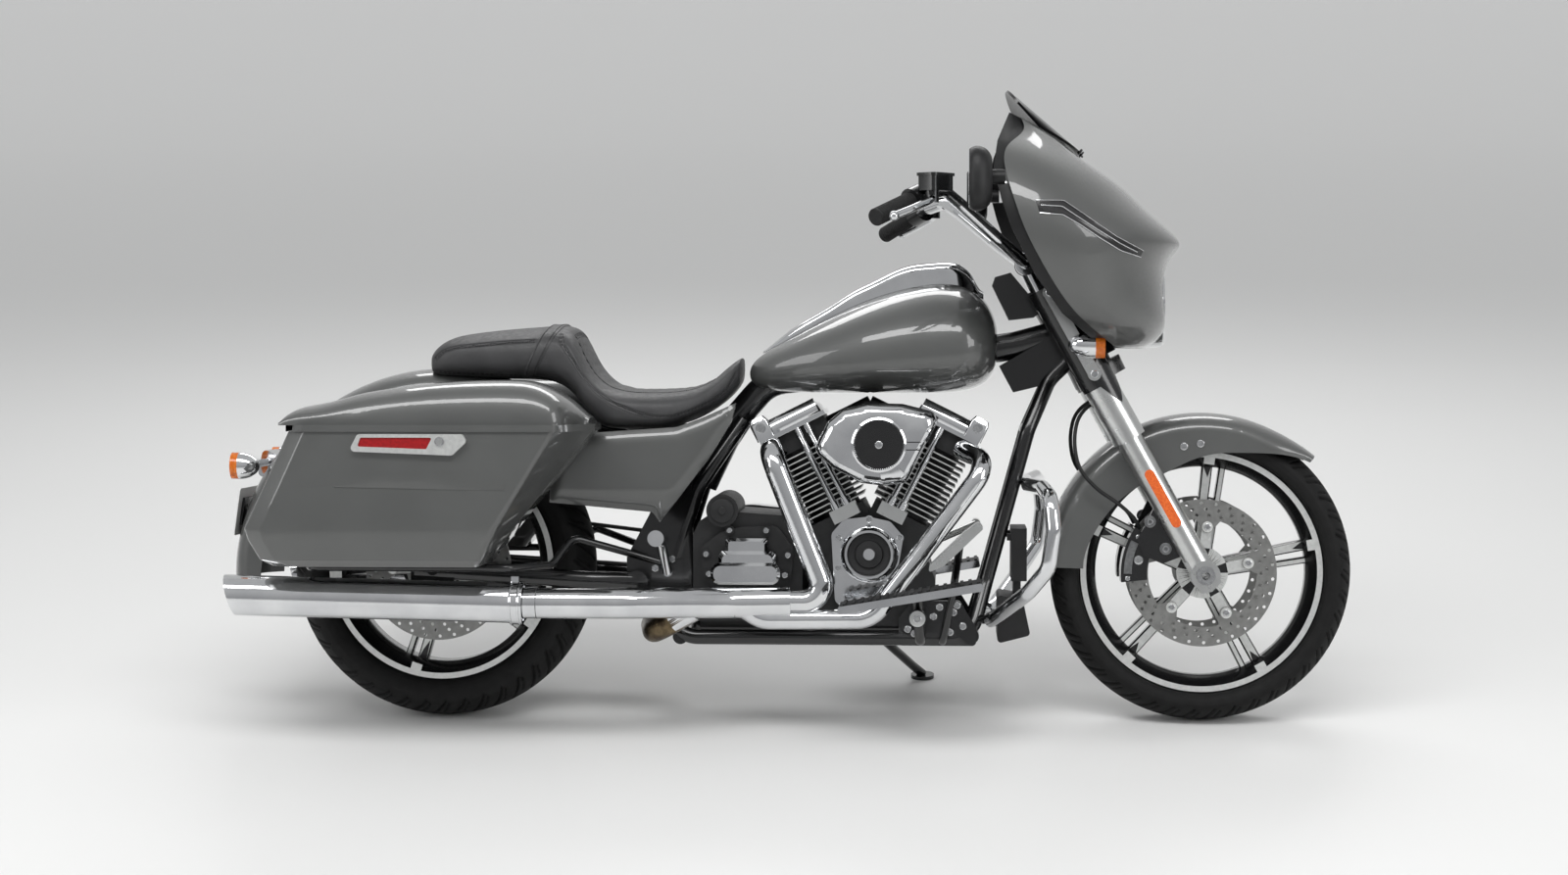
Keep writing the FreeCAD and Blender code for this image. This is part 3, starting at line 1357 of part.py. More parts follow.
def rear_lamps():
    """A tail lamp on the fender with a turn signal each side."""
    block = rounded_plate([(-404, 520), (-366, 508), (-352, 560), (-392, 578)], -46, 46, 10)
    block = block.cut(fender_core(seat_gap))
    bar = cylinder(V(-399, -182, lamp_z), V(-399, 182, lamp_z), 9)
    signals = []
    for side in (-1, 1):
        signals.append(bullet_lamp(-424, -366, side * 186, lamp_z, 28, -1))
    return fuse([block, bar] + signals)


bag_levels = [
    (350, -292, 132, 140, 30), (364, -316, 146, 150, 12), (404, -338, 164, 182, 4), (428, -345, 176, 200, 0),
    (512, -305, 226, 268, 0), (625, -253, 293, 360, 0)]


def bag_outline(level, inset):
    """The box's outline at one height: square behind, raked in front."""
    z, x_rear, x_front, x_nose, tuck = level
    outer = -(bag_outer_y - tuck - inset)
    inner = -(bag_inner_y + inset)
    rear = x_rear + inset
    points = [V(rear, inner, z), V(rear + 4, outer + 24, z), V(rear + 42, outer, z),
              V(x_front - inset, outer, z), V(x_nose - inset, outer + 118, z), V(x_nose - inset, inner, z)]
    return points


def bag_wire(level, inset):
    return rounded_outline(bag_outline(level, inset), 14 - inset)


def saddlebag(side):
    """A hard case, open under its lid, walls all one thickness."""
    outer = loft([bag_wire(level, 0) for level in bag_levels], True)
    inner_levels = [(bag_floor_z + bag_wall,) + bag_levels[0][1:]] + bag_levels[1:-1]
    top = bag_levels[-1]
    inner_levels.append(top)
    inner_levels.append((top[0] + 5, top[1] - 2, top[2] + 3, top[3] + 4, top[4]))
    inner = loft([bag_wire(level, bag_wall) for level in inner_levels], True)
    case = outer.cut(inner)
    step = [V(-150, -bag_outer_y - 1, 512), V(196, -bag_outer_y - 1, 506), V(206, -bag_outer_y - 1, 540),
            V(-150, -bag_outer_y - 1, 519)]
    deep = [q + V(0, 3.2, 0) for q in (step[0], step[1])]
    press = Part.makeSolid(Part.makeShell([
        Part.Face(Part.makePolygon([step[0], step[1], step[2], step[3], step[0]])),
        Part.Face(Part.makePolygon([step[0], deep[0], deep[1], step[1], step[0]])),
        Part.Face(Part.makePolygon([step[1], deep[1], step[2], step[1]])),
        Part.Face(Part.makePolygon([step[3], step[2], deep[1], step[3]])),
        Part.Face(Part.makePolygon([step[3], deep[1], deep[0], step[3]])),
        Part.Face(Part.makePolygon([step[3], deep[0], step[0], step[3]]))]))
    case = case.cut(press)
    latch = rounded_plate([(-118, 586), (92, 578), (122, 606), (114, 621), (-100, 621)],
                          -bag_outer_y - 11, -bag_outer_y + 1, 8)
    glass = rounded_plate([(-100, 596), (40, 591), (52, 614), (-94, 614)], -bag_outer_y - 12, -bag_outer_y - 8, 3)
    right = fuse([case, latch.cut(glass)])
    return right if side < 0 else mirrored(right)


lid_stations = [
    (-263, 12, 648), (-252, 26, 662), (-228, 30, 674), (-146, 32, 692), (-45, 34, 713), (35, 36, 723),
    (116, 38, 728), (196, 40, 729), (247, 42, 724), (290, 50, 706), (325, 64, 678), (352, 84, 652)]


def saddlebag_lid(side):
    """A domed lid with a flange, hollow below, hinged on its outer edge."""
    top = bag_levels[-1]
    z0 = bag_top_z + seat_gap

    def flange_wire(z, inset):
        return rounded_outline([V(p.x, p.y, z) for p in bag_outline(top, inset)], 14)

    flange = loft([flange_wire(z0, -lid_lip), flange_wire(z0 + lid_flange, -lid_lip)], True)
    base = z0 + lid_flange - 1

    def dome_wire(x, edge, height, inset):
        low_x = top[3] + lid_lip
        front = max(0.0, (x - top[2]) / (low_x - top[2]))
        y_out = -(bag_outer_y - 4) + 116 * front + inset + (edge - 30) * 0.35
        y_in = -bag_inner_y - 2 - inset
        mid = (y_out + y_in) / 2
        half = (y_in - y_out) / 2
        return egg_wire(x, half, base - 40, base, height - inset, 2.9, 2.9, mid)

    dome = loft([dome_wire(x, e, h, 0) for x, e, h in lid_stations])
    hollow = loft([dome_wire(x, e, h, bag_wall) for x, e, h in lid_stations[1:-1]])
    below = box(-400, 500, -600, 0, 500, z0)
    flange_hole = loft([flange_wire(z0 - 1, bag_wall + 3), flange_wire(z0 + lid_flange - 1 - 3, bag_wall + 3)], True)
    shell = fuse([flange, dome.cut(box(-400, 500, -600, 0, 500, base))])
    shell = shell.cut(hollow.cut(below)).cut(flange_hole)
    return shell if side < 0 else mirrored(shell)


def side_covers():
    """Painted panels below the seat, behind the engine."""
    outline = [(250, 470), (468, 450), (482, 426), (522, 478), (584, 560), (634, 640), (646, 684), (572, 648),
               (520, 629), (342, 617), (262, 616)]
    plate = rounded_plate(outline, -side_cover_y - 34, -side_cover_y, 12)
    return both_sides(plate)


def engine_guard():
    """A chromed hoop each side of the downtubes, one tube."""
    z = 505.0
    x = downtube_x(z) + (tube_radius + guard_radius + seat_gap) / math.cos(
        math.atan2(downtube_high[0] - downtube_low[0], downtube_high[1] - downtube_low[1]))
    right = pipe([(x, 0, z), (x, -90, z), (1282, -270, z + 2), (1294, -374, z - 14), (1300, -390, 430),
                  (1290, -384, 350), (1250, -330, 296), (1188, -146, 228), (1176, -130, 222)], guard_radius, 46)
    foot = lug(V(1176, -130, 222), V(1146, -99, 222), 10, tube_radius + 1.4)
    right = fuse([right, foot])
    return fuse([right, mirrored(right)])


board_y = 330.0


def footboards():
    """Rubber-topped boards on brackets, and the folded passenger pegs."""
    rail_side = rail_y + tube_radius + seat_gap
    shapes = []
    for side in (-1, 1):
        y = side * board_y
        outline = [(866, 254), (1160, 304), (1157, 320), (864, 270)]
        board = rounded_plate(outline, y - 62, y + 62, 5)
        bracket = pipe([(1030, side * rail_side, rail_z), (1030, side * 214, rail_z + 4),
                        (1025, side * 296, 286)], 11, 40)
        brace = disc(1025, 239, *sorted((side * 264, side * 300)), 18)
        shapes.append(fuse([board, bracket, brace]))
        root = V(496, side * (rail_y - 16 + seat_gap), 322)
        shapes.append(fuse([cylinder(V(486, side * 196, 394), V(486, side * 300, 402), 17),
                            cylinder(root, V(496, side * 150, 322), 10),
                            cylinder(V(496, side * 150, 322), V(486, side * 206, 394), 10)]))
    return Part.makeCompound(shapes)


def foot_controls():
    """The brake pedal on the right and the heel-toe shifter on the left."""
    rail_side = rail_y + tube_radius + seat_gap
    pad = rounded_plate([(1048, 338), (1080, 352), (1160, 428), (1150, 442), (1120, 420), (1050, 352)], -352, -300, 6)
    arm = pipe([(1112, -296, 392), (1098, -242, 290), (1076, -206, rail_z), (1076, -rail_side, rail_z)], 8, 26)
    link = cylinder(V(1112, -310, 392), V(1112, -290, 392), 9)
    pedal = fuse([pad, arm, link])
    shaft = cylinder(V(994, primary_y + seat_gap, 332), V(994, 300, 332), 9)
    rocker = pipe([(1150, 300, 400), (994, 300, 332), (868, 300, 392)], 8, 60)
    toe = cylinder(V(1150, 300, 400), V(1150, 350, 400), 10)
    heel = cylinder(V(868, 300, 392), V(868, 350, 392), 10)
    shifter = fuse([shaft, rocker, toe, heel])
    return Part.makeCompound([pedal, shifter])


def front_panel():
    """The oil cooler and its lower deflector ahead of the engine."""
    z = 400.0
    back = downtube_x(z) + (tube_radius + seat_gap) / math.cos(
        math.atan2(downtube_high[0] - downtube_low[0], downtube_high[1] - downtube_low[1]))
    cooler = box(back + 9, back + 42, -80, 80, 300, 412)
    lower = rounded_plate([(1192, 168), (1262, 186), (1246, 262), (1192, 272)], -92, 92, 8)
    neck = box(back + 14, back + 30, -50, 50, 250, 310)
    lugs = [box(back, back + 12, y - 12, y + 12, z - 14, z) for y in (-downtube_y, downtube_y)]
    return fuse([cooler, lower, neck] + lugs)


def rear_caliper():
    """The rear caliper on its bracket round the axle spacer."""
    body = caliper(0, rear_z, -rear_disc_y, 40, 36, 14)
    plate = polygon_solid([(-14, rear_z - 30), (26, rear_z - 24), (132, rear_z + 66), (92, rear_z + 122),
                           (-24, rear_z + 24)], -130, -122)
    hub = disc(0, rear_z, -130, -122, 32)
    body = fuse([body, plate, hub])
    return body.cut(disc(0, rear_z, -140, -100, 20 + seat_gap))


stand_pivot = V(930, 160, 164)
stand_foot_reach = 100.0
stand_foot_out = 122.0
stand_hub_half = 13.0
stand_pin_radius = 7.0


def leaned(p):
    """A point of the upright bike once it leans on its stand."""
    a = math.radians(lean_deg)
    lift = rear_crown_radius * (1 - math.cos(a))
    return V(p.x, p.y * math.cos(a) + p.z * math.sin(a), -p.y * math.sin(a) + p.z * math.cos(a) + lift)


def upright(p):
    a = math.radians(lean_deg)
    lift = rear_crown_radius * (1 - math.cos(a))
    z = p.z - lift
    return V(p.x, p.y * math.cos(a) - z * math.sin(a), p.y * math.sin(a) + z * math.cos(a))


def side_stand():
    """The stand leg, bent to a flat foot that lies on the floor."""
    pivot = stand_pivot
    down = leaned(pivot)
    foot = V(down.x + stand_foot_reach, down.y + stand_foot_out, 0)
    knee = upright(V(foot.x - 22, foot.y - 22, 34))
    ankle = upright(V(foot.x, foot.y, 9))
    leg = pipe([tuple(pivot), tuple(knee), tuple(ankle)], 10, 30)
    normal = upright(V(0, 0, 1)) - upright(V(0, 0, 0))
    pad = Part.makeCylinder(26, 8, upright(V(foot.x, foot.y, 0)), normal)
    axis = stand_axis()
    hub = cylinder(pivot - axis * stand_hub_half, pivot + axis * stand_hub_half, 17)
    bore = cylinder(pivot - axis * 20, pivot + axis * 20, stand_pin_radius + running_gap)
    return fuse([leg, pad, hub]).cut(bore)


def stand_bracket():
    """The lug on the left rail and the pin that carries the stand."""
    axis = stand_axis()
    u = (X_AXIS - axis * axis.x).normalize()
    face = stand_pivot - axis * (stand_hub_half + running_gap)
    rail = V(stand_pivot.x, rail_y, rail_z - 6)
    foot = rail - axis * (rail - face).dot(axis)
    down = (face - foot).normalize()
    corners = [face + u * 18 + down * 8, foot + u * 34, foot - u * 34, face - u * 18 + down * 8]
    lug = Part.Face(Part.makePolygon(corners + [corners[0]])).extrude(axis * -9)
    end = stand_pivot + axis * (stand_hub_half + running_gap)
    pin = cylinder(face - axis * 9, end + axis * 7, stand_pin_radius)
    head = cylinder(end, end + axis * 7, 12)
    return [lug, pin, head]


def stand_axis():
    """The hinge line: square to the leg both when out and when folded."""
    down = leaned(stand_pivot)
    foot = upright(V(down.x + stand_foot_reach, down.y + stand_foot_out, 9))
    out = (foot - stand_pivot).normalize()
    folded = V(-1, 0.10, 0.02).normalize()
    return out.cross(folded).normalize()


nodes = {
    "front_tyre": lambda: tyre(wheelbase, front_tyre_radius, front_tyre_width, front_rim_radius,
                               front_rim_width, front_crown_radius),
    "front_wheel": front_wheel,
    "front_discs": front_discs,
    "rear_tyre": lambda: tyre(0, rear_tyre_radius, rear_tyre_width, rear_rim_radius,
                              rear_rim_width, rear_crown_radius),
    "rear_wheel": rear_wheel,
    "rear_disc_and_pulley": rear_disc_and_pulley,
    "drive_belt": drive_belt,
    "fork_legs": fork_legs,
    "front_axle": front_axle,
    "triple_clamps": triple_clamps,
    "front_fender": front_fender,
    "outer_fairing": outer_fairing,
    "inner_fairing": inner_fairing,
    "windshield": windshield,
    "front_lamps": front_lamps,
    "handlebar": handlebar,
    "hand_controls": hand_controls,
    "mirrors": mirrors,
    "front_calipers": front_calipers,
    "brake_hoses": brake_hoses,
    "frame": frame,
    "swingarm": swingarm,
    "rear_shocks": rear_shocks,
    "cylinders": cylinders,
    "rocker_covers": rocker_covers,
    "engine_case": engine_case,
    "transmission": transmission,
    "engine_covers": engine_covers,
    "pushrod_tubes": pushrod_tubes,
    "air_cleaner": air_cleaner,
    "exhaust_pipes": exhaust_pipes,
    "silencers": silencers,
    "fuel_tank": fuel_tank,
    "tank_console": tank_console,
    "fuel_door": fuel_door,
    "seat": seat,
    "rear_fender": rear_fender,
    "rear_lamps": rear_lamps,
    "saddlebag_right": lambda: saddlebag(-1),
    "saddlebag_left": lambda: saddlebag(1),
    "lid_right": lambda: saddlebag_lid(-1),
    "lid_left": lambda: saddlebag_lid(1),
    "side_covers": side_covers,
    "engine_guard": engine_guard,
    "footboards": footboards,
    "foot_controls": foot_controls,
    "front_panel": front_panel,
    "rear_caliper": rear_caliper,
    "side_stand": side_stand,
}


def main():
    os.makedirs("parts", exist_ok=True)
    shapes = {name: make() for name, make in nodes.items()}
    a = math.radians(lean_deg)
    lean = FreeCAD.Placement(V(0, 0, rear_crown_radius * (1 - math.cos(a))),
                             FreeCAD.Rotation(X_AXIS, -lean_deg))
    for shape in shapes.values():
        shape.Placement = lean.multiply(shape.Placement)
    room = Part.makeCompound(list(shapes.values())).optimalBoundingBox(False, False)
    shift = V(-round((room.XMin + room.XMax) / 2), -round((room.YMin + room.YMax) / 2), 0)
    for name, shape in shapes.items():
        shape.translate(shift)
        bad = [s for s in shape.Solids if not s.isValid() or s.Volume <= 0]
        if bad or not shape.Solids:
            print("check the solid of", name)
        shape.exportStep("parts/" + name + ".step")
    print("row shift", shift)
    print("stand pivot", leaned(stand_pivot) + shift, "axis", leaned(stand_axis()) - leaned(V(0, 0, 0)))
    return shapes


main()
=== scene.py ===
import json
import math
import bmesh
import bpy
import numpy as np
from mathutils import Matrix, Vector
from mathutils.bvhtree import BVHTree
from mathutils.geometry import delaunay_2d_cdt


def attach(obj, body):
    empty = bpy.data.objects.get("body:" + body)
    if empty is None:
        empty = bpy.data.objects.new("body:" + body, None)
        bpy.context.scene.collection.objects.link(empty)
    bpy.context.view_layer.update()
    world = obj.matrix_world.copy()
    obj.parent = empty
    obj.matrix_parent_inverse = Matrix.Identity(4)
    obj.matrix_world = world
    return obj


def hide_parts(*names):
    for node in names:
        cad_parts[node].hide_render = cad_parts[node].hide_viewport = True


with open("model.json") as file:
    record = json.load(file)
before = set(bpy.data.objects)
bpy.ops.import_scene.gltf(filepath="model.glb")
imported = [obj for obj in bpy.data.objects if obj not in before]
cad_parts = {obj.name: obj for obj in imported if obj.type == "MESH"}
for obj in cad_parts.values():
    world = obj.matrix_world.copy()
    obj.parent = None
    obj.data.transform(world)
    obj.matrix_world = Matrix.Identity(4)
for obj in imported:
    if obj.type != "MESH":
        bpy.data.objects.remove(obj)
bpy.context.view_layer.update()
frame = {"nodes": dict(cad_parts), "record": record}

# Touring cruiser motorcycle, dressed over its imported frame.
# Everything below is drawn with the bike upright, in mm: X forward from the rear axle,
# Y to the rider's left, Z up. lean() puts it onto its side stand, in metres.

bodyOf = {node: body for body, nodes in frame["record"]["behaviour"]["bodies"].items() for node in nodes}

stance = {"lean": 10.0, "lift": 1.975, "shift": (-745.0, -134.0, 0.0), "wheelbase": 1625.0,
          "frontAxleZ": 319.0, "rearAxleZ": 327.0, "forkAngle": 29.0, "forkSpacing": 125.0}
onStand = (Matrix.Scale(0.001, 4) @ Matrix.Translation(Vector(stance["shift"]) + Vector((0, 0, stance["lift"])))
           @ Matrix.Rotation(-math.radians(stance["lean"]), 4, "X"))
offStand = onStand.inverted()
leanTurn = np.array(Matrix.Rotation(-math.radians(stance["lean"]), 3, "X"))
frontAxle = (stance["wheelbase"], 0.0, stance["frontAxleZ"])
rearAxle = (0.0, 0.0, stance["rearAxleZ"])


def carried(points, matrix):
    matrix = np.array(matrix)
    return np.asarray(points, float).reshape(-1, 3) @ matrix[:3, :3].T + matrix[:3, 3]


def lean(points):
    # upright mm to leaned metres
    return carried(points, onStand)


def unlean(points):
    return carried(points, offStand)


def unit(vector):
    return np.asarray(vector, float) / np.linalg.norm(vector)


def around(degrees):
    # the unit circle at an angle
    return math.cos(math.radians(degrees)), math.sin(math.radians(degrees))


def readAll(store, key):
    # a vector of every vertex or face
    flat = np.empty(len(store) * 3)
    store.foreach_get(key, flat)
    return flat.reshape(-1, 3)


forkCos, forkSin = around(stance["forkAngle"])
forkUp, forkFore = np.array([-forkSin, 0, forkCos]), np.array([forkCos, 0, forkSin])


def forkPoint(s, y=0.0):
    # s up the fork leg from the front axle
    return np.array(frontAxle) + forkUp * s + np.array([0, y, 0])


def linear(hexCode):
    # sRGB hex to the linear colour that a shader socket takes
    parts = [int(hexCode[i:i + 2], 16) / 255 for i in (1, 3, 5)]
    return [p / 12.92 if p <= 0.04045 else ((p + 0.055) / 1.055) ** 2.4 for p in parts] + [1.0]


def addNode(tree, kind, settings=None, links=None):
    # settings: properties by name, sockets by index or name; links: input socket -> output socket
    made = tree.nodes.new(kind)
    for key, value in (settings or {}).items():
        if isinstance(key, str) and hasattr(made, key):
            setattr(made, key, value)
        else:
            made.inputs[key].default_value = value
    for key, source in (links or {}).items():
        tree.links.new(source, made.inputs[key])
    return made


def finish(name, colours=None, rough=None, bump=None, **sockets):
    # one Principled shader. colours: two hex values and the size of their drift; rough: patch size, low, high;
    # bump: grain width and height, and "cells" for a pebbled one. All sizes in mm.
    material = bpy.data.materials.new(name)
    material.use_nodes = True
    tree = material.node_tree
    shader = tree.nodes["Principled BSDF"]
    labels = {"coat": "Coat Weight", "coatRoughness": "Coat Roughness", "transmission": "Transmission Weight",
              "specular": "Specular IOR Level", "ior": "IOR"}
    for key, value in sockets.items():
        shader.inputs[labels.get(key, key.capitalize())].default_value = value
    if not colours:
        return material
    where = addNode(tree, "ShaderNodeTexCoord").outputs["Object"]
    steps = {"From Min": 0.35, "From Max": 0.65}
    noise = addNode(tree, "ShaderNodeTexNoise", {"Scale": 1000 / colours[2], "Detail": 4.0}, {"Vector": where})
    ramp = addNode(tree, "ShaderNodeValToRGB", {}, {"Fac": noise.outputs["Fac"]})
    for stop, place, code in zip(ramp.color_ramp.elements, steps.values(), colours):
        stop.position, stop.color = place, linear(code)
    tree.links.new(ramp.outputs["Color"], shader.inputs["Base Color"])
    if rough:
        noise = addNode(tree, "ShaderNodeTexNoise", {"Scale": 1000 / rough[0], "Detail": 3.0}, {"Vector": where})
        spread = addNode(tree, "ShaderNodeMapRange", {**steps, "To Min": rough[1], "To Max": rough[2]},
                         {"Value": noise.outputs["Fac"]})
        tree.links.new(spread.outputs["Result"], shader.inputs["Roughness"])
    if bump:
        kind, output = ("Voronoi", "Distance") if "cells" in bump else ("Noise", "Fac")
        texture = addNode(tree, "ShaderNodeTex" + kind, {"Scale": 1000 / bump[0]}, {"Vector": where})
        raised = addNode(tree, "ShaderNodeBump", {"Strength": 1.0, "Distance": bump[1] / 1000},
                         {"Height": texture.outputs[output]})
        tree.links.new(raised.outputs["Normal"], shader.inputs["Normal"])
    return material


# urethane enamel, sprayed and clear-coated: a soft grey under a hard, clean gloss
enamel = finish("sprayed grey urethane enamel", ("#454645", "#4a4b4a", 160.0), (6.0, 0.38, 0.44),
                coat=1.0, coatRoughness=0.04, specular=0.5)
# powder coat over steel: deep black with a faint orange peel
powder = finish("gloss black powder coat", ("#0c0c0d", "#101011", 40.0), None, (3.0, 0.03),
                roughness=0.24, coat=0.4, coatRoughness=0.12)
# wrinkle paint, baked on cast aluminium: matt black with a fine crinkle, drawn coarser than its 0.6 mm
wrinkle = finish("wrinkle black enamel", ("#121213", "#1a1a1b", 25.0), (2.0, 0.42, 0.6), (1.6, 0.12, "cells"))
# decorative chromium over polished steel: a mirror with only faint ripples
chrome = finish("chromium plate", ("#d0d1d3", "#dfe0e1", 90.0), (30.0, 0.05, 0.09), (55.0, 0.04), metallic=1.0)
# aluminium turned and clear-coated: a soft, even sheen
turnedMetal = finish("satin turned aluminium", ("#c9cac9", "#cfd0cf", 45.0), (40.0, 0.27, 0.29), metallic=1.0)
# machined edges on cast aluminium: brighter, with cutter marks too fine to draw at true size
machined = finish("machined aluminium", ("#d6d7d5", "#e2e3e1", 8.0), None, (1.2, 0.02), metallic=0.85,
                  roughness=0.36)
# ground stainless steel: grey with a grinding haze
discSteel = finish("ground stainless steel", ("#90908e", "#9c9c9a", 16.0), (6.0, 0.34, 0.4), metallic=1.0)
# zinc-plated screws: bright but not mirror-like
screwSteel = finish("zinc-plated steel", ("#b4b5b6", "#c8c9ca", 6.0), metallic=1.0, roughness=0.22)
# blackened steel of socket screws: dark with an oily sheen
blackSteel = finish("blackened steel", ("#1c1c1d", "#29292a", 5.0), metallic=0.9, roughness=0.34)
# natural cured tyre rubber: nearly black, dull, with a moulded skin
tyreRubber = finish("cured tyre rubber", ("#0c0c0c", "#121212", 18.0), None, (1.4, 0.05), roughness=0.7,
                    specular=0.25)
# moulded nitrile rubber of grips, pads and belt: dull black with a fine grain
gripRubber = finish("moulded nitrile rubber", ("#101011", "#181818", 9.0), None, (1.0, 0.04), roughness=0.6,
                    specular=0.4)
# injection-moulded ABS: black with a spark-eroded grain, drawn at twice its 0.5 mm
matteAbs = finish("grained black ABS", ("#0f0f10", "#161617", 30.0), None, (1.0, 0.05), roughness=0.5,
                  specular=0.4)
# expanded vinyl upholstery: charcoal, pebbled like hide, with a low sheen
vinyl = finish("pebbled upholstery vinyl", ("#353536", "#3d3d3e", 60.0), (9.0, 0.44, 0.56), (2.2, 0.16, "cells"),
               specular=0.42)
# bonded nylon thread: darker than the vinyl that it holds
thread = finish("bonded nylon thread", ("#1b1b1c", "#242425", 3.0), roughness=0.6, specular=0.3)
# polycarbonate, tinted in the mass and polished: black glass to the eye
smoked = finish("smoked polycarbonate", ("#050506", "#08080a", 70.0), roughness=0.14, ior=1.45, specular=0.06)
# moulded acrylic lenses, ribbed inside: colour deep in the plastic
amberLens = finish("amber acrylic", ("#dd6a18", "#ee8426", 6.0), None, (3.0, 0.2), roughness=0.16,
                   transmission=0.3, ior=1.49)
redLens = finish("red acrylic", ("#8d1014", "#a5161a", 5.0), None, (2.5, 0.2), roughness=0.18,
                 transmission=0.15, ior=1.49)
# a reflector of moulded prisms: bright orange with a cellular sparkle
reflectorOrange = finish("prismatic orange reflector", ("#c8501a", "#dd6a26", 4.0), None, (2.4, 0.25, "cells"),
                         roughness=0.2, ior=1.49, coat=0.5)
# clear moulded polycarbonate of the headlamp: glass-clear with a hard gloss
clearLens = finish("clear polycarbonate", ("#eceff0", "#f6f8f8", 30.0), roughness=0.03, transmission=0.95, ior=1.3)
# header steel heat-tinted straw brown: a dull bronze in patches
tinted = finish("heat-tinted steel", ("#4f4436", "#75674f", 22.0), (4.0, 0.25, 0.42), metallic=1.0)
# sand-cast aluminium, bead-blasted: an even grey with a fine tooth
castGrey = finish("cast grey aluminium", ("#6f7071", "#828384", 7.0), None, (1.5, 0.06), metallic=0.9,
                  roughness=0.42)
# silvered mirror glass: a clean reflection
mirrorGlass = finish("silvered glass", ("#dfe2e4", "#e6e9ea", 80.0), metallic=1.0, roughness=0.015)
# enamelled number plate stock, left blank: flat white with a soft gloss
plateStock = finish("white plate enamel", ("#d6d7d5", "#dddedc", 50.0), roughness=0.4)
# printed dial card under glass: black behind a gloss
dialFace = finish("printed dial card", ("#101214", "#16181a", 20.0), roughness=0.35, coat=1.0)
print("finishes made")


def shown(name, mesh):
    piece = bpy.data.objects.new(name, mesh)
    bpy.context.scene.collection.objects.link(piece)
    return piece


def settle(piece, slot, replaced=False):
    # last calls for every finished piece: it rides with its slot's node and may stand in for it
    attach(piece, bodyOf[slot])
    if replaced:
        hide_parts(slot)
    return piece


def smoothByAngle(mesh, degrees):
    mesh.polygons.foreach_set("use_smooth", [True] * len(mesh.polygons))
    mesh.set_sharp_from_angle(angle=math.radians(degrees))


def reworked(meshes, change=None):
    # several meshes as one, changed in bmesh, with the first one's materials
    work = bmesh.new()
    for mesh in meshes:
        work.from_mesh(mesh)
    if change:
        change(work)
    whole = bpy.data.meshes.new(meshes[0].name)
    work.to_mesh(whole)
    work.free()
    for material in meshes[0].materials:
        whole.materials.append(material)
    return whole


def cleaned(work):
    bmesh.ops.remove_doubles(work, verts=work.verts, dist=0.000005)
    bmesh.ops.recalc_face_normals(work, faces=work.faces)


def weld(work):
    # a CAD node comes as loose triangles
    bmesh.ops.remove_doubles(work, verts=work.verts, dist=0.00002)


def solidMesh(name, parts, material, crease=35.0, change=cleaned):
    # one mesh from several (points, faces) in upright mm, its normals turned outwards
    points, faces = [], []
    for partPoints, partFaces in parts:
        base = len(points)
        points.extend(tuple(p) for p in partPoints)
        faces.extend(tuple(int(i) + base for i in face) for face in partFaces)
    mesh = bpy.data.meshes.new(name)
    mesh.from_pydata(lean(points).tolist(), [], faces)
    mesh.materials.append(material)
    mesh = reworked([mesh], change)
    smoothByAngle(mesh, crease)
    return mesh


def newPiece(name, parts, material, slot, crease=35.0, replaced=False):
    return settle(shown(name, solidMesh(name, parts, material, crease)), slot, replaced)


def lathe(profile, centre, axis, segments=48):
    # a closed profile of (along, radius) turned about an axis
    axis = unit(axis)
    side = unit(np.cross(axis, [0, 0, 1] if abs(axis[2]) < 0.9 else [1, 0, 0]))
    up = np.cross(side, axis)
    angles = np.linspace(0, 2 * math.pi, segments, endpoint=False)
    ring = np.cos(angles)[:, None] * side + np.sin(angles)[:, None] * up
    points = [np.asarray(centre, float) + axis * a + spoke * r for spoke in ring for a, r in profile]
    count, faces = len(profile), []
    for i in range(segments):
        for j in range(count - 1):
            a, b = i * count + j, ((i + 1) % segments) * count + j
            faces.append((a, b, b + 1, a + 1))
    return points, faces


def slab(outline, place, across, up, depth, bevel):
    # a flat plate: its outline in (across, up), its bevelled front at place and its back depth behind
    across, up = unit(across), unit(up)
    out = np.cross(across, up)
    flat = np.asarray(outline, float)
    reach = flat - flat.mean(axis=0)
    shrunk = flat.mean(axis=0) + reach * (1 - bevel / np.maximum(np.linalg.norm(reach, axis=1), bevel * 2))[:, None]
    points = [np.asarray(place, float) + across * u + up * v + out * height
              for ring, height in ((flat, -depth), (flat, -bevel), (shrunk, 0.0)) for u, v in ring]
    count = len(flat)
    faces = [tuple(range(count))[::-1], tuple(range(len(points) - count, len(points)))]
    for base in (0, count):
        for i in range(count):
            j = (i + 1) % count
            faces.append((base + i, base + j, base + count + j, base + count + i))
    return points, faces


def rod(route, radius, sides):
    # a round tube along points in mm
    route = np.asarray(route, float)
    points, faces, side = [], [], None
    for i, spot in enumerate(route):
        way = unit(route[min(i + 1, len(route) - 1)] - route[max(i - 1, 0)])
        if side is None:
            side = unit(np.cross(way, [0, 0, 1] if abs(way[2]) < 0.9 else [1, 0, 0]))
        side = unit(side - way * side.dot(way))
        other = np.cross(way, side)
        for k in range(sides):
            u, v = around(360 * k / sides)
            points.append(spot + (side * u + other * v) * radius)
    for i in range(len(route) - 1):
        for k in range(sides):
            a, b = i * sides + k, i * sides + (k + 1) % sides
            faces.append((a, b, b + sides, a + sides))
    return points, faces + [tuple(range(sides))[::-1], tuple(range(len(points) - sides, len(points)))]


surfaces = {}


def surfaceOf(node):
    # the CAD node's upright surface in mm, to lay pieces on
    if node not in surfaces:
        surfaces[node] = skinOf(frame["nodes"][node].data)
    return surfaces[node]


def skinOf(mesh):
    return BVHTree.FromPolygons([tuple(p) for p in unlean(readAll(mesh.vertices, "co"))],
                                [tuple(face.vertices) for face in mesh.polygons])


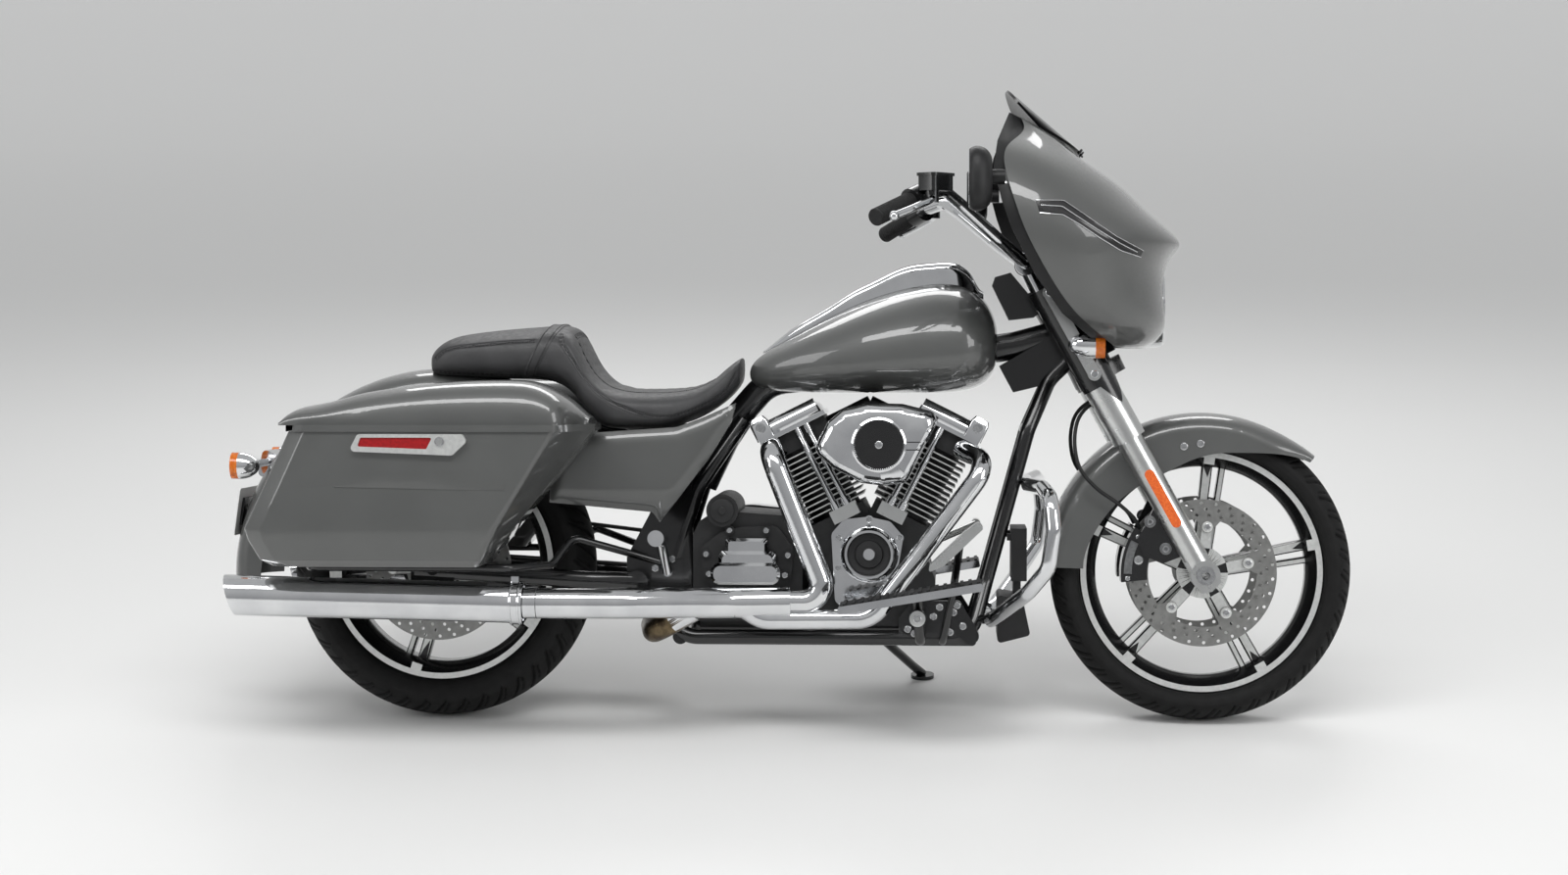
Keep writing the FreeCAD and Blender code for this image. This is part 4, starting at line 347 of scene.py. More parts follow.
def struck(surface, start, way, near=None):
    # where a ray from start meets the surface, else its place nearest to near, and the outward normal there
    way = unit(way)
    place, normal, _, _ = surface.ray_cast(Vector(start), Vector(way), 900.0)
    if place is None:
        place, normal, _, _ = surface.find_nearest(Vector(start) + Vector(way) * 10.0 if near is None else Vector(near))
    normal = np.array(normal)
    return np.array(place), -normal if normal.dot(way) > 0 else normal


def closedGrid(top, bottom, rows, columns):
    # two matching grids of points joined into a closed skin
    base, faces = len(top), []
    for i in range(rows - 1):
        for j in range(columns - 1):
            a = i * columns + j
            quad = (a, a + 1, a + columns + 1, a + columns)
            faces += [quad, tuple(k + base for k in reversed(quad))]
    rim = (list(range(columns)) + [i * columns + columns - 1 for i in range(1, rows)]
           + [(rows - 1) * columns + j for j in range(columns - 2, -1, -1)]
           + [i * columns for i in range(rows - 2, 0, -1)])
    for a, b in zip(rim, rim[1:] + rim[:1]):
        faces.append((a, a + base, b + base, b))
    return list(top) + list(bottom), faces


def spaced(route, count):
    # count points evenly along a polyline
    route = np.asarray(route, float)
    gaps = np.concatenate([[0], np.cumsum(np.linalg.norm(np.diff(route, axis=0), axis=1))])
    marks = np.linspace(0, gaps[-1], count)
    return np.stack([np.interp(marks, gaps, route[:, k]) for k in range(route.shape[1])], axis=1)


# Geometry Nodes: one tree sets a small shape on every point of a mesh, another runs stitches along its edges,
# a third drills a plate. All their sizes are inputs.
def newTree(name, **sizes):
    made = bpy.data.node_groups.new(name, "GeometryNodeTree")
    made.interface.new_socket("Geometry", in_out="INPUT", socket_type="NodeSocketGeometry")
    kinds = {int: "NodeSocketInt", float: "NodeSocketFloat", tuple: "NodeSocketVector"}
    for label, value in sizes.items():
        made.interface.new_socket(label, in_out="INPUT", socket_type=kinds[type(value)]).default_value = value
    made.interface.new_socket("Material", in_out="INPUT", socket_type="NodeSocketMaterial")
    made.interface.new_socket("Geometry", in_out="OUTPUT", socket_type="NodeSocketGeometry")
    return made, made.nodes.new("NodeGroupInput").outputs


def closeTree(made, given, geometry):
    real = addNode(made, "GeometryNodeRealizeInstances", {}, {"Geometry": geometry})
    addNode(made, "NodeGroupOutput", {}, {0: addNode(made, "GeometryNodeSetMaterial", {}, {
        "Geometry": real.outputs[0], "Material": given["Material"]}).outputs[0]})
    return made


def setOnPoints(made, given, shape):
    # the shape's Z follows "facing", its X "along", and its scale "size"
    names = {label: addNode(made, "GeometryNodeInputNamedAttribute", {"data_type": "FLOAT_VECTOR", "Name": label})
             for label in ("facing", "along", "size")}
    upTurn = addNode(made, "FunctionNodeAlignRotationToVector", {"axis": "Z"}, {"Vector": names["facing"].outputs[0]})
    fullTurn = addNode(made, "FunctionNodeAlignRotationToVector", {"axis": "X", "pivot_axis": "Z"},
                       {"Rotation": upTurn.outputs[0], "Vector": names["along"].outputs[0]})
    dots = addNode(made, "GeometryNodeMeshToPoints", {}, {"Mesh": given["Geometry"]})
    return closeTree(made, given, addNode(made, "GeometryNodeInstanceOnPoints", {}, {
        "Points": dots.outputs[0], "Instance": shape, "Rotation": fullTurn.outputs[0],
        "Scale": names["size"].outputs[0]}).outputs[0])


def headTree(name, sides, socketShare):
    # a screw head one unit in radius and one high, with a drilled socket when socketShare isn't 0
    made, given = newTree(name, Sides=sides)
    head = addNode(made, "GeometryNodeMeshCylinder", {"Radius": 1.0, "Depth": 1.0}, {"Vertices": given["Sides"]})
    raised = addNode(made, "GeometryNodeTransform", {"Translation": (0, 0, 0.5)}, {"Geometry": head.outputs["Mesh"]})
    split = addNode(made, "ShaderNodeSeparateXYZ", {}, {0: addNode(made, "GeometryNodeInputNormal").outputs[0]})
    isTop = addNode(made, "FunctionNodeCompare", {"data_type": "FLOAT", "operation": "GREATER_THAN", 1: 0.9},
                    {0: split.outputs["Z"]})
    shape, chamfer = raised.outputs[0], 0.86
    for share, rise in ((chamfer, 1 - chamfer), (socketShare / chamfer, 0.0)):
        if not share:
            continue
        inner = addNode(made, "GeometryNodeExtrudeMesh", {"mode": "FACES", "Offset Scale": rise},
                        {"Mesh": shape, "Selection": isTop.outputs[0]})
        small = addNode(made, "GeometryNodeScaleElements", {"Scale": share},
                        {"Geometry": inner.outputs["Mesh"], "Selection": inner.outputs["Top"]})
        shape = small.outputs[0]
    if socketShare:
        shape = addNode(made, "GeometryNodeExtrudeMesh", {"mode": "FACES", "Offset Scale": -0.7},
                        {"Mesh": shape, "Selection": inner.outputs["Top"]}).outputs["Mesh"]
    return setOnPoints(made, given, shape)


def barTree(name):
    # a bar one unit each way, centred on its point
    made, given = newTree(name, Bar=(1, 1, 1))
    return setOnPoints(made, given, addNode(made, "GeometryNodeMeshCube", {}, {"Size": given["Bar"]}).outputs[0])


def ringTree(name):
    # a hoop one unit in radius, its wire thickness given as a share of that
    made, given = newTree(name, Wire=0.06, Steps=40)
    hoop = addNode(made, "GeometryNodeCurvePrimitiveCircle", {}, {"Resolution": given["Steps"]})
    wire = addNode(made, "GeometryNodeCurvePrimitiveCircle", {"Resolution": 8}, {"Radius": given["Wire"]})
    return setOnPoints(made, given, addNode(made, "GeometryNodeCurveToMesh", {}, {
        "Curve": hoop.outputs[0], "Profile Curve": wire.outputs[0]}).outputs[0])


def stitchTree(name):
    # short thread loops at a fixed pitch along the mesh's edges, each turned a little at random
    made, given = newTree(name, Pitch=0.0046, Length=0.0034, Thread=0.00062, Seed=5)
    line = addNode(made, "GeometryNodeMeshToCurve", {}, {"Mesh": given["Geometry"]})
    dots = addNode(made, "GeometryNodeCurveToPoints", {"mode": "LENGTH"},
                   {"Curve": line.outputs[0], "Length": given["Pitch"]})
    turned = addNode(made, "FunctionNodeAlignRotationToVector", {"axis": "Z"}, {"Vector": dots.outputs["Tangent"]})
    wobble = addNode(made, "FunctionNodeRandomValue", {"data_type": "FLOAT_VECTOR", 0: (-0.09, -0.09, 0),
                                                       1: (0.09, 0.09, 0)}, {"Seed": given["Seed"]})
    aimed = addNode(made, "FunctionNodeRotateRotation", {"rotation_space": "LOCAL"},
                    {"Rotation": turned.outputs[0], "Rotate By": wobble.outputs[0]})
    loop = addNode(made, "GeometryNodeMeshCylinder", {"Vertices": 6},
                   {"Radius": given["Thread"], "Depth": given["Length"]})
    return closeTree(made, given, addNode(made, "GeometryNodeInstanceOnPoints", {}, {
        "Points": dots.outputs["Points"], "Instance": loop.outputs["Mesh"], "Rotation": aimed.outputs[0]}).outputs[0])


def drilledTree(name):
    # a flat plate in XY between the mesh's loop and a rim circle, drilled at the points marked "hole"
    made, given = newTree(name, Rim=0.156, Hole=0.0037, Thickness=0.005)
    marked = addNode(made, "GeometryNodeInputNamedAttribute", {"data_type": "FLOAT", "Name": "hole"})
    parted = addNode(made, "GeometryNodeSeparateGeometry", {}, {"Geometry": given["Geometry"],
                                                               "Selection": marked.outputs[0]})
    dots = addNode(made, "GeometryNodeMeshToPoints", {}, {"Mesh": parted.outputs[0]})
    bit = addNode(made, "GeometryNodeCurvePrimitiveCircle", {"Resolution": 12}, {"Radius": given["Hole"]})
    bits = addNode(made, "GeometryNodeInstanceOnPoints", {}, {"Points": dots.outputs[0], "Instance": bit.outputs[0]})
    loose = addNode(made, "GeometryNodeRealizeInstances", {}, {"Geometry": bits.outputs[0]})
    loop = addNode(made, "GeometryNodeMeshToCurve", {}, {"Mesh": parted.outputs[1]})
    rim = addNode(made, "GeometryNodeCurvePrimitiveCircle", {"Resolution": 96}, {"Radius": given["Rim"]})
    outline, both = addNode(made, "GeometryNodeJoinGeometry"), addNode(made, "GeometryNodeJoinGeometry")
    for source in (loose, loop, rim):
        made.links.new(source.outputs[0], outline.inputs[0])
    sheet = addNode(made, "GeometryNodeFillCurve", {}, {"Curve": outline.outputs[0]})
    back = addNode(made, "GeometryNodeFlipFaces", {}, {"Mesh": sheet.outputs[0]})
    front = addNode(made, "GeometryNodeExtrudeMesh", {"mode": "FACES", "Individual": False},
                    {"Mesh": sheet.outputs[0], "Offset Scale": given["Thickness"]})
    for source in (back, front):
        made.links.new(source.outputs[0], both.inputs[0])
    whole = addNode(made, "GeometryNodeMergeByDistance", {"Distance": 0.000005}, {"Geometry": both.outputs[0]})
    return closeTree(made, given, whole.outputs[0])


def applied(holder):
    # the object's modifiers made permanent
    bpy.context.view_layer.update()
    mesh = bpy.data.meshes.new_from_object(holder.evaluated_get(bpy.context.evaluated_depsgraph_get()))
    holder.modifiers.clear()
    holder.data = mesh
    return mesh


def grow(holder, made, **sizes):
    # runs the tree once on a holder and keeps the result as its plain mesh
    modifier = holder.modifiers.new(made.name, "NODES")
    modifier.node_group = made
    for item in made.interface.items_tree:
        if item.in_out == "INPUT" and item.name in sizes:
            modifier[item.identifier] = sizes[item.name]
    return applied(holder)


socketHead = headTree("socket screw head", 16, 0.5)
hexHead = headTree("hexagon bolt head", 6, 0.0)
buttonHead = headTree("plain round head", 20, 0.0)
ribBar = barTree("rib or slat")
hoopWire = ringTree("hoop")
stitchLine = stitchTree("stitches")
drilledPlate = drilledTree("drilled plate")


def repeats(name, made, spots, material, slot, **sizes):
    # spots: (place, facing, size) or (place, facing, size, along), in upright mm
    mesh = bpy.data.meshes.new(name)
    mesh.from_pydata(lean([s[0] for s in spots]).tolist(), [], [])
    facing = np.array([unit(s[1]) for s in spots]) @ leanTurn.T
    along = np.array([unit(s[3]) if len(s) > 3 else [0, 0, 1] if abs(unit(s[1])[2]) < 0.9 else [1, 0, 0]
                      for s in spots]) @ leanTurn.T
    size = np.array([np.ones(3) * s[2] for s in spots]) / 1000
    for label, values in (("facing", facing), ("along", along), ("size", size)):
        mesh.attributes.new(label, "FLOAT_VECTOR", "POINT").data.foreach_set("vector", values.ravel())
    holder = shown(name, mesh)
    smoothByAngle(grow(holder, made, Material=material, **sizes), 32)
    settle(holder, slot)


def castBolts(name, head, spots, nodes, side, size, material):
    # bolt heads at (x, z) on whatever node a ray from that side meets first; each node's share is one piece
    found = {}
    for x, z in spots:
        hits = []
        for node in nodes:
            place, normal, _, _ = surfaceOf(node).ray_cast(Vector((x, side * 620.0, z)), Vector((0, -side, 0)), 700.0)
            if place is not None and abs(normal[1]) > 0.5:
                hits.append((side * -place[1], node, tuple(place)))
        if hits:
            _, node, place = min(hits)
            found.setdefault(node, []).append((place, (0, side, 0), size))
    for node, placed in found.items():
        repeats(name + node.replace("_", " ").title().replace(" ", ""), head, placed, material, node)


def polished(node, materials, pick=None, drop=None, extra=None):
    # a welded, smooth-shaded copy of a CAD node; pick gives each face its finish by place and direction,
    # drop leaves faces out, extra is a mesh that joins it
    mesh = reworked([frame["nodes"][node].data], weld)
    if drop:
        gone = np.nonzero(drop(unlean(readAll(mesh.polygons, "center"))))[0]
        mesh = reworked([mesh], lambda work: dropFaces(work, gone))
    if "custom_normal" in mesh.attributes:
        mesh.attributes.remove(mesh.attributes["custom_normal"])
    mesh.materials.clear()
    for material in materials:
        mesh.materials.append(material)
    chosen = np.zeros(len(mesh.polygons), dtype=np.int32)
    if pick:
        chosen[:] = pick(unlean(readAll(mesh.polygons, "center")), readAll(mesh.polygons, "normal") @ leanTurn)
    mesh.polygons.foreach_set("material_index", chosen)
    smoothByAngle(mesh, 32)
    settle(shown(node + "Finished", reworked([mesh, extra]) if extra else mesh), node, True)


def dropFaces(work, gone):
    work.faces.ensure_lookup_table()
    bmesh.ops.delete(work, geom=[work.faces[i] for i in gone], context="FACES")


def reachFrom(places, centre):
    return np.hypot(places[:, 0] - centre[0], places[:, 2] - centre[2])


def nearLine(places, route):
    # distance of each place from a polyline
    best = np.full(len(places), 1e9)
    route = np.asarray(route, float)
    for a, b in zip(route[:-1], route[1:]):
        t = np.clip(((places - a) @ (b - a)) / max((b - a) @ (b - a), 1e-9), 0, 1)
        best = np.minimum(best, np.linalg.norm(places - (a + t[:, None] * (b - a)), axis=1))
    return best


# The finishes of the CAD nodes. Each function gives the faces at these places, facing these ways, a number in
# its node's list of materials; the limits are places on the bike.
vee = {"crank": (920.0, 0.0, 299.0), "halfAngle": 26.5, "finRoot": 168.0, "finEnd": 316.0, "tappetEnd": 171.0,
       "headAt": 360.4}


def finEdges(places, facings):
    # the fins' cut edges are bare metal, the rest of a cylinder is black
    tilt = np.radians(vee["halfAngle"]) * np.where(places[:, 0] > vee["crank"][0], 1, -1)
    axis = np.stack([np.sin(tilt), 0 * tilt, np.cos(tilt)], axis=1)
    rel = places - np.array(vee["crank"])
    along = (rel * axis).sum(axis=1)
    away = rel - axis * along[:, None]
    level = np.abs((facings * axis).sum(axis=1)) < 0.3
    front = np.abs(away[:, 0] * axis[:, 2] - away[:, 2] * axis[:, 0])
    outer = np.maximum(np.abs(away[:, 1]) - 8, front) > 72.5
    return np.where(level & outer & (along > vee["finRoot"]) & (along < vee["finEnd"]), 1, 0)


def wheelFaces(places, facings):
    # bright: the rim's machined ring, the tabs, the spokes' outer faces, the arms of the disc carrier
    front = places[:, 0] > stance["wheelbase"] / 2
    reach = np.where(front, reachFrom(places, frontAxle), reachFrom(places, rearAxle))
    edge, half = np.where(front, 256.0, 243.0), np.where(front, 47.0, 70.0)
    side = np.abs(places[:, 1])
    ring = (reach > edge - 7) & (side > half - 3)
    tabs = (reach > edge - 28) & (reach < edge - 7) & (side > half - 0.8)
    bars = (reach > 62) & (reach < edge - 55) & (side < half * 0.6)
    arms = (reach < 112) & (reach > 40) & (side > 58)
    return np.where((np.abs(facings[:, 1]) > 0.85) & (ring | tabs | bars | arms), 1, 0)


def gripEnds(side):
    # the grip's inner end, its direction outwards and the way the lever stands from it
    inner = np.array([1028.0, 322.0 * side, 1103.0])
    outer = np.array([941.0, 430.0 * side, 1055.0])
    way = unit(outer - inner)
    lever = unit(np.cross(way, [0, 0, 1]))
    return inner, outer, way, lever if lever[0] > 0 else -lever


def controlFaces(places, facings):
    # rubber grips, black housings, bright levers
    found = np.ones(len(places), dtype=int)
    for side in (-1, 1):
        inner, outer, way, out = gripEnds(side)
        here = places[:, 1] * side > 0
        pivot = inner + way * 4 + out * 36
        lever = [pivot + way * a + out * b for a, b in ((18, 12), (30, 22), (92, 16), (136, 8))]
        found[(nearLine(places, [inner + way * 34, outer]) < 18.5) & here] = 0
        found[(nearLine(places, lever) < 11.5) & here] = 2
    return found


def airCleanerFaces(places, facings):
    disc = (reachFrom(places, (944, 0, 594)) < 53.5) & (places[:, 1] < -233) & (places[:, 1] > -241.5)
    return np.where(disc, 2, np.where(places[:, 1] > -205.5, 1, 0))


def coverFaces(places, facings):
    # chrome cam cover and primary, black gearbox end and recess in the cam ring
    reach = reachFrom(places, (922, 0, 362))
    gearEnd = (places[:, 0] < 790) & (places[:, 1] < 0) & (places[:, 1] > -150)
    return np.where(gearEnd | ((reach < 44) & (reach > 13) & (places[:, 1] < -160)), 2, 0)


def tappetFaces(places, facings):
    rel = places - np.array(vee["crank"])
    tilt = np.radians(vee["halfAngle"]) * np.where(rel[:, 0] > 0, 1, -1)
    return np.where(rel[:, 0] * np.sin(tilt) + rel[:, 2] * np.cos(tilt) < vee["tappetEnd"], 1, 0)


def exhaustFaces(places, facings):
    # the crossover below the frame is left in its heat tint
    cross = nearLine(places, [(520, -226, 222), (474, -214, 200), (448, 0, 196), (452, 214, 200), (410, 270, 236)])
    return np.where((cross < 26.5) & (places[:, 2] < 237), 1, 0)


def boardFaces(places, facings):
    # rubber top, bright edge, black brackets; the folded passenger pegs are bright
    slope = (places[:, 0] - 866) * 0.170 + 254
    board = (places[:, 0] > 700) & (np.abs(places[:, 1]) > 267) & (places[:, 2] > 232) & (places[:, 2] > slope - 3)
    found = np.where(board, np.where(facings[:, 2] > 0.6, 0, 1), 2)
    found[places[:, 0] < 700] = 1
    return found


def pedalFaces(places, facings):
    return np.where((places[:, 1] < -296) | ((places[:, 1] > 0) & (places[:, 2] > 330)), 0, 1)


def lampFaces(places, facings):
    # amber lens at the front of each signal, black bracket behind it
    side = np.abs(places[:, 1])
    reach = np.hypot(side - 186, places[:, 2] - 801)
    found = np.where((side > 120) & (places[:, 0] > 1396.8) & (reach < 29), 1, 0)
    found[(side > 120) & (reach > 29.5)] = 2
    return found


def tailFaces(places, facings):
    # red lens on the fender lamp's rear face, amber ends on the bullets
    side = np.abs(places[:, 1])
    found = np.where((side < 44.5) & (facings[:, 0] < -0.55) & (places[:, 2] > 500), 1, 0)
    found[(side > 155) & (places[:, 0] < -409)] = 2
    return found


def bagFaces(places, facings):
    # bright latch plate with a red reflector let into it
    side = np.abs(places[:, 1])
    latch = (side > 455.4) & (places[:, 2] > 574) & (places[:, 0] > -125) & (places[:, 0] < 130)
    floor = (side < 463.6) & (side > 462.4) & (np.abs(facings[:, 1]) > 0.9)
    return np.where(latch, np.where(floor, 2, 1), 0)


def axleFaces(places, facings):
    return np.where((reachFrom(places, frontAxle) < 9.2) & (np.abs(places[:, 1]) > 100), 1, 0)


def mirrorFaces(places, facings):
    return np.where((places[:, 0] < 1128.4) & (facings[:, 0] < -0.9), 1, 0)


def forkFaces(places, facings):
    # bright legs and holders, black ears that carry the calipers
    side = np.abs(places[:, 1])
    away = nearLine(places * np.array([1, 0, 1]), [forkPoint(-20), forkPoint(700)])
    ear = (side > 107) & (side < 120.5) & (places[:, 2] < 460)
    return np.where(ear & (away > 29) & (reachFrom(places, frontAxle) > 42), 1, 0)


plain = {"frame": powder, "swingarm": powder, "rear_shocks": powder, "rocker_covers": chrome,
         "engine_case": wrinkle, "transmission": wrinkle, "silencers": chrome, "fuel_tank": enamel,
         "tank_console": chrome, "fuel_door": chrome, "rear_fender": enamel, "engine_guard": chrome,
         "front_panel": matteAbs, "rear_caliper": powder, "front_calipers": powder, "drive_belt": gripRubber,
         "triple_clamps": powder, "front_fender": enamel, "outer_fairing": enamel, "inner_fairing": matteAbs,
         "windshield": smoked, "handlebar": chrome, "side_stand": powder, "brake_hoses": gripRubber}
picked = {"cylinders": ([wrinkle, machined], finEdges), "front_wheel": ([powder, machined], wheelFaces),
          "rear_wheel": ([powder, machined], wheelFaces),
          "hand_controls": ([gripRubber, powder, chrome], controlFaces),
          "air_cleaner": ([chrome, wrinkle, powder], airCleanerFaces),
          "engine_covers": ([chrome, turnedMetal, wrinkle], coverFaces),
          "pushrod_tubes": ([chrome, turnedMetal], tappetFaces), "exhaust_pipes": ([chrome, tinted], exhaustFaces),
          "footboards": ([gripRubber, chrome, powder], boardFaces),
          "foot_controls": ([turnedMetal, powder], pedalFaces),
          "rear_lamps": ([chrome, redLens, amberLens], tailFaces),
          "saddlebag_right": ([enamel, machined, redLens], bagFaces),
          "saddlebag_left": ([enamel, machined, redLens], bagFaces),
          "front_axle": ([screwSteel, matteAbs], axleFaces), "mirrors": ([matteAbs, mirrorGlass], mirrorFaces),
          "fork_legs": ([turnedMetal, powder], forkFaces)}
for node in frame["nodes"]:
    if node in plain:
        polished(node, [plain[node]])
    elif node in picked:
        polished(node, *picked[node])
print("CAD pieces finished")


# Lids: the solid's dome is open at its front outer corner, so a thin-plate skin closes it
corner = {"x": (290.0, 336.0), "z": (637.5, 685.0), "step": 2.0, "through": 300.0, "wall": 1.6, "sunk": 0.25}


def cornerSkin(side, node):
    xs, zs = np.arange(*corner["x"], corner["step"]), np.arange(*corner["z"], corner["step"])
    depth = np.full((len(zs), len(xs)), np.nan)
    for i, z in enumerate(zs):
        for j, x in enumerate(xs):
            place = surfaceOf(node).ray_cast(Vector((x, side * 700.0, z)), Vector((0, -side, 0)), 900.0)[0]
            if place is not None:
                depth[i, j] = side * place[1]
    real = ~np.isnan(depth)
    hole = real & (depth < corner["through"])
    # the lowest row meets the flange, which is no part of the dome
    hole[0] = real[0]
    number = -np.ones(depth.shape, dtype=int)
    number[hole] = np.arange(hole.sum())
    rows, values = [], []
    for di, dj in ((0, 1), (1, 0), (1, 1), (1, -1)):
        for i, j in np.ndindex(depth.shape):
            trio = [(i - di, j - dj), (i, j), (i + di, j + dj)]
            if any(not (0 <= a < len(zs) and 0 <= b < len(xs)) or not real[a, b] for a, b in trio):
                continue
            if not any(hole[a, b] for a, b in trio):
                continue
            row, value = np.zeros(hole.sum()), 0.0
            for (a, b), weight in zip(trio, (1, -2, 1)):
                if hole[a, b]:
                    row[number[a, b]] += weight
                else:
                    value -= weight * depth[a, b]
            rows.append(row)
            values.append(value)
    depth[hole] = np.linalg.lstsq(np.array(rows), np.array(values), rcond=None)[0]
    padded = np.pad(hole, 1)
    near = real & np.any([padded[di:di + len(zs), dj:dj + len(xs)] for di, dj in np.ndindex(3, 3)], axis=0)
    index = -np.ones(depth.shape, dtype=int)
    index[near] = np.arange(near.sum())
    points = [(xs[j], side * (depth[i, j] - (0 if hole[i, j] else corner["sunk"])), zs[i])
              for i, j in np.argwhere(near)]
    faces = []
    for i, j in np.ndindex(len(zs) - 1, len(xs) - 1):
        quad = [index[i, j], index[i, j + 1], index[i + 1, j + 1], index[i + 1, j]]
        if min(quad) >= 0:
            faces.append(quad[::-side])
    holder = shown(node + "Corner", solidMesh(node + "Corner", [(points, faces)], enamel, change=None))
    wall = holder.modifiers.new("wall", "SOLIDIFY")
    wall.thickness, wall.offset = corner["wall"] / 1000, -1.0
    made = applied(holder)
    bpy.data.objects.remove(holder)
    smoothByAngle(made, 40)
    return made


for node, side in (("lid_right", -1), ("lid_left", 1)):
    polished(node, [enamel], extra=cornerSkin(side, node))
print("lids closed")


# Side covers: the flat panel gets its crown, and a lower band that turns in below a soft crease
sideCover = {"back": 168.0, "edge": 190.0, "face": 201.8, "reach": 30.0, "creaseZ": 500.0, "turnIn": 0.2,
             "grid": 7.0, "roundness": 2.2,
             "outline": [(250, 470), (468, 450), (482, 428), (522, 478), (584, 560), (634, 640), (644, 680), (572, 648),
                         (520, 629), (342, 617), (262, 616)]}


def coverPanel(side):
    loop = np.array(sideCover["outline"] + sideCover["outline"][:1], float)
    grid = sideCover["grid"]
    edge = spaced(loop, int(np.linalg.norm(np.diff(loop, axis=0), axis=1).sum() / grid) + 1)[:-1]
    low, high = edge.min(axis=0), edge.max(axis=0)
    inner = [(x, z) for x in np.arange(low[0], high[0], grid) for z in np.arange(low[1], high[1], grid)]
    rim = np.insert(loop, 1, 0, axis=1)
    away = nearLine(np.insert(np.array(inner), 1, 0, axis=1), rim)
    flat = [tuple(p) for p in edge] + [p for p, d in zip(inner, away) if d > grid * 0.6]
    count = len(edge)
    placed, _, faces, _, _, _ = delaunay_2d_cdt([Vector(p) for p in flat], [(i, (i + 1) % count) for i in range(count)],
                                                [], 1, 0.001)
    spots = np.array([(p[0], 0, p[1]) for p in placed])
    share = np.clip(nearLine(spots, rim) / sideCover["reach"], 0, 1)
    crown = 1 - (1 - share) ** sideCover["roundness"]
    turn = np.clip(sideCover["creaseZ"] - spots[:, 2], 0, None)
    height = (sideCover["edge"] + (sideCover["face"] - sideCover["edge"]) * crown
              - turn * sideCover["turnIn"] * np.clip(turn / 6, 0, 1))
    top = [(x, side * h, z) for (x, _, z), h in zip(spots, height)]
    back = [(x, side * sideCover["back"], z) for x, _, z in spots]
    base = len(top)
    sheets = [tuple(f) for f in faces] + [tuple(i + base for i in reversed(f)) for f in faces]
    return top + back, sheets + [(i, (i + 1) % count, (i + 1) % count + base, i + base) for i in range(count)]


newPiece("sideCoverPanels", [coverPanel(-1), coverPanel(1)], enamel, "side_covers", replaced=True)
print("side covers crowned")


# Tyres: the CAD tyre's own arcs, with slanted grooves moulded into the tread. Each row of grooves has its
# offset in pitches, slant, width, start and end as shares of the tread's half width, and depth.
tread = {"pitch": 47.0, "steps": 880, "wall": 8.0, "shoulder": 6.0, "wallPoints": 26, "flangeWidth": 7.0,
         "flangeHeight": 6.0, "gap": 0.3, "bulgeShare": 0.42, "bank": 1.8,
         "grooves": ((0.0, 0.62, 5.6, 0.16, 1.10, 4.4), (0.5, 0.496, 3.6, 0.52, 1.02, 3.74)),
         "ribs": (1.22, 1.50), "ribHeight": 0.9, "ribWidth": 0.022}


def circleThrough(a, b, c):
    (ax, ay), (bx, by), (cx, cy) = a, b, c
    d = 2 * (ax * (by - cy) + bx * (cy - ay) + cx * (ay - by))
    aa, bb, cc = ax ** 2 + ay ** 2, bx ** 2 + by ** 2, cx ** 2 + cy ** 2
    return ((aa * (by - cy) + bb * (cy - ay) + cc * (ay - by)) / d,
            (aa * (cx - bx) + bb * (ax - cx) + cc * (bx - ax)) / d)


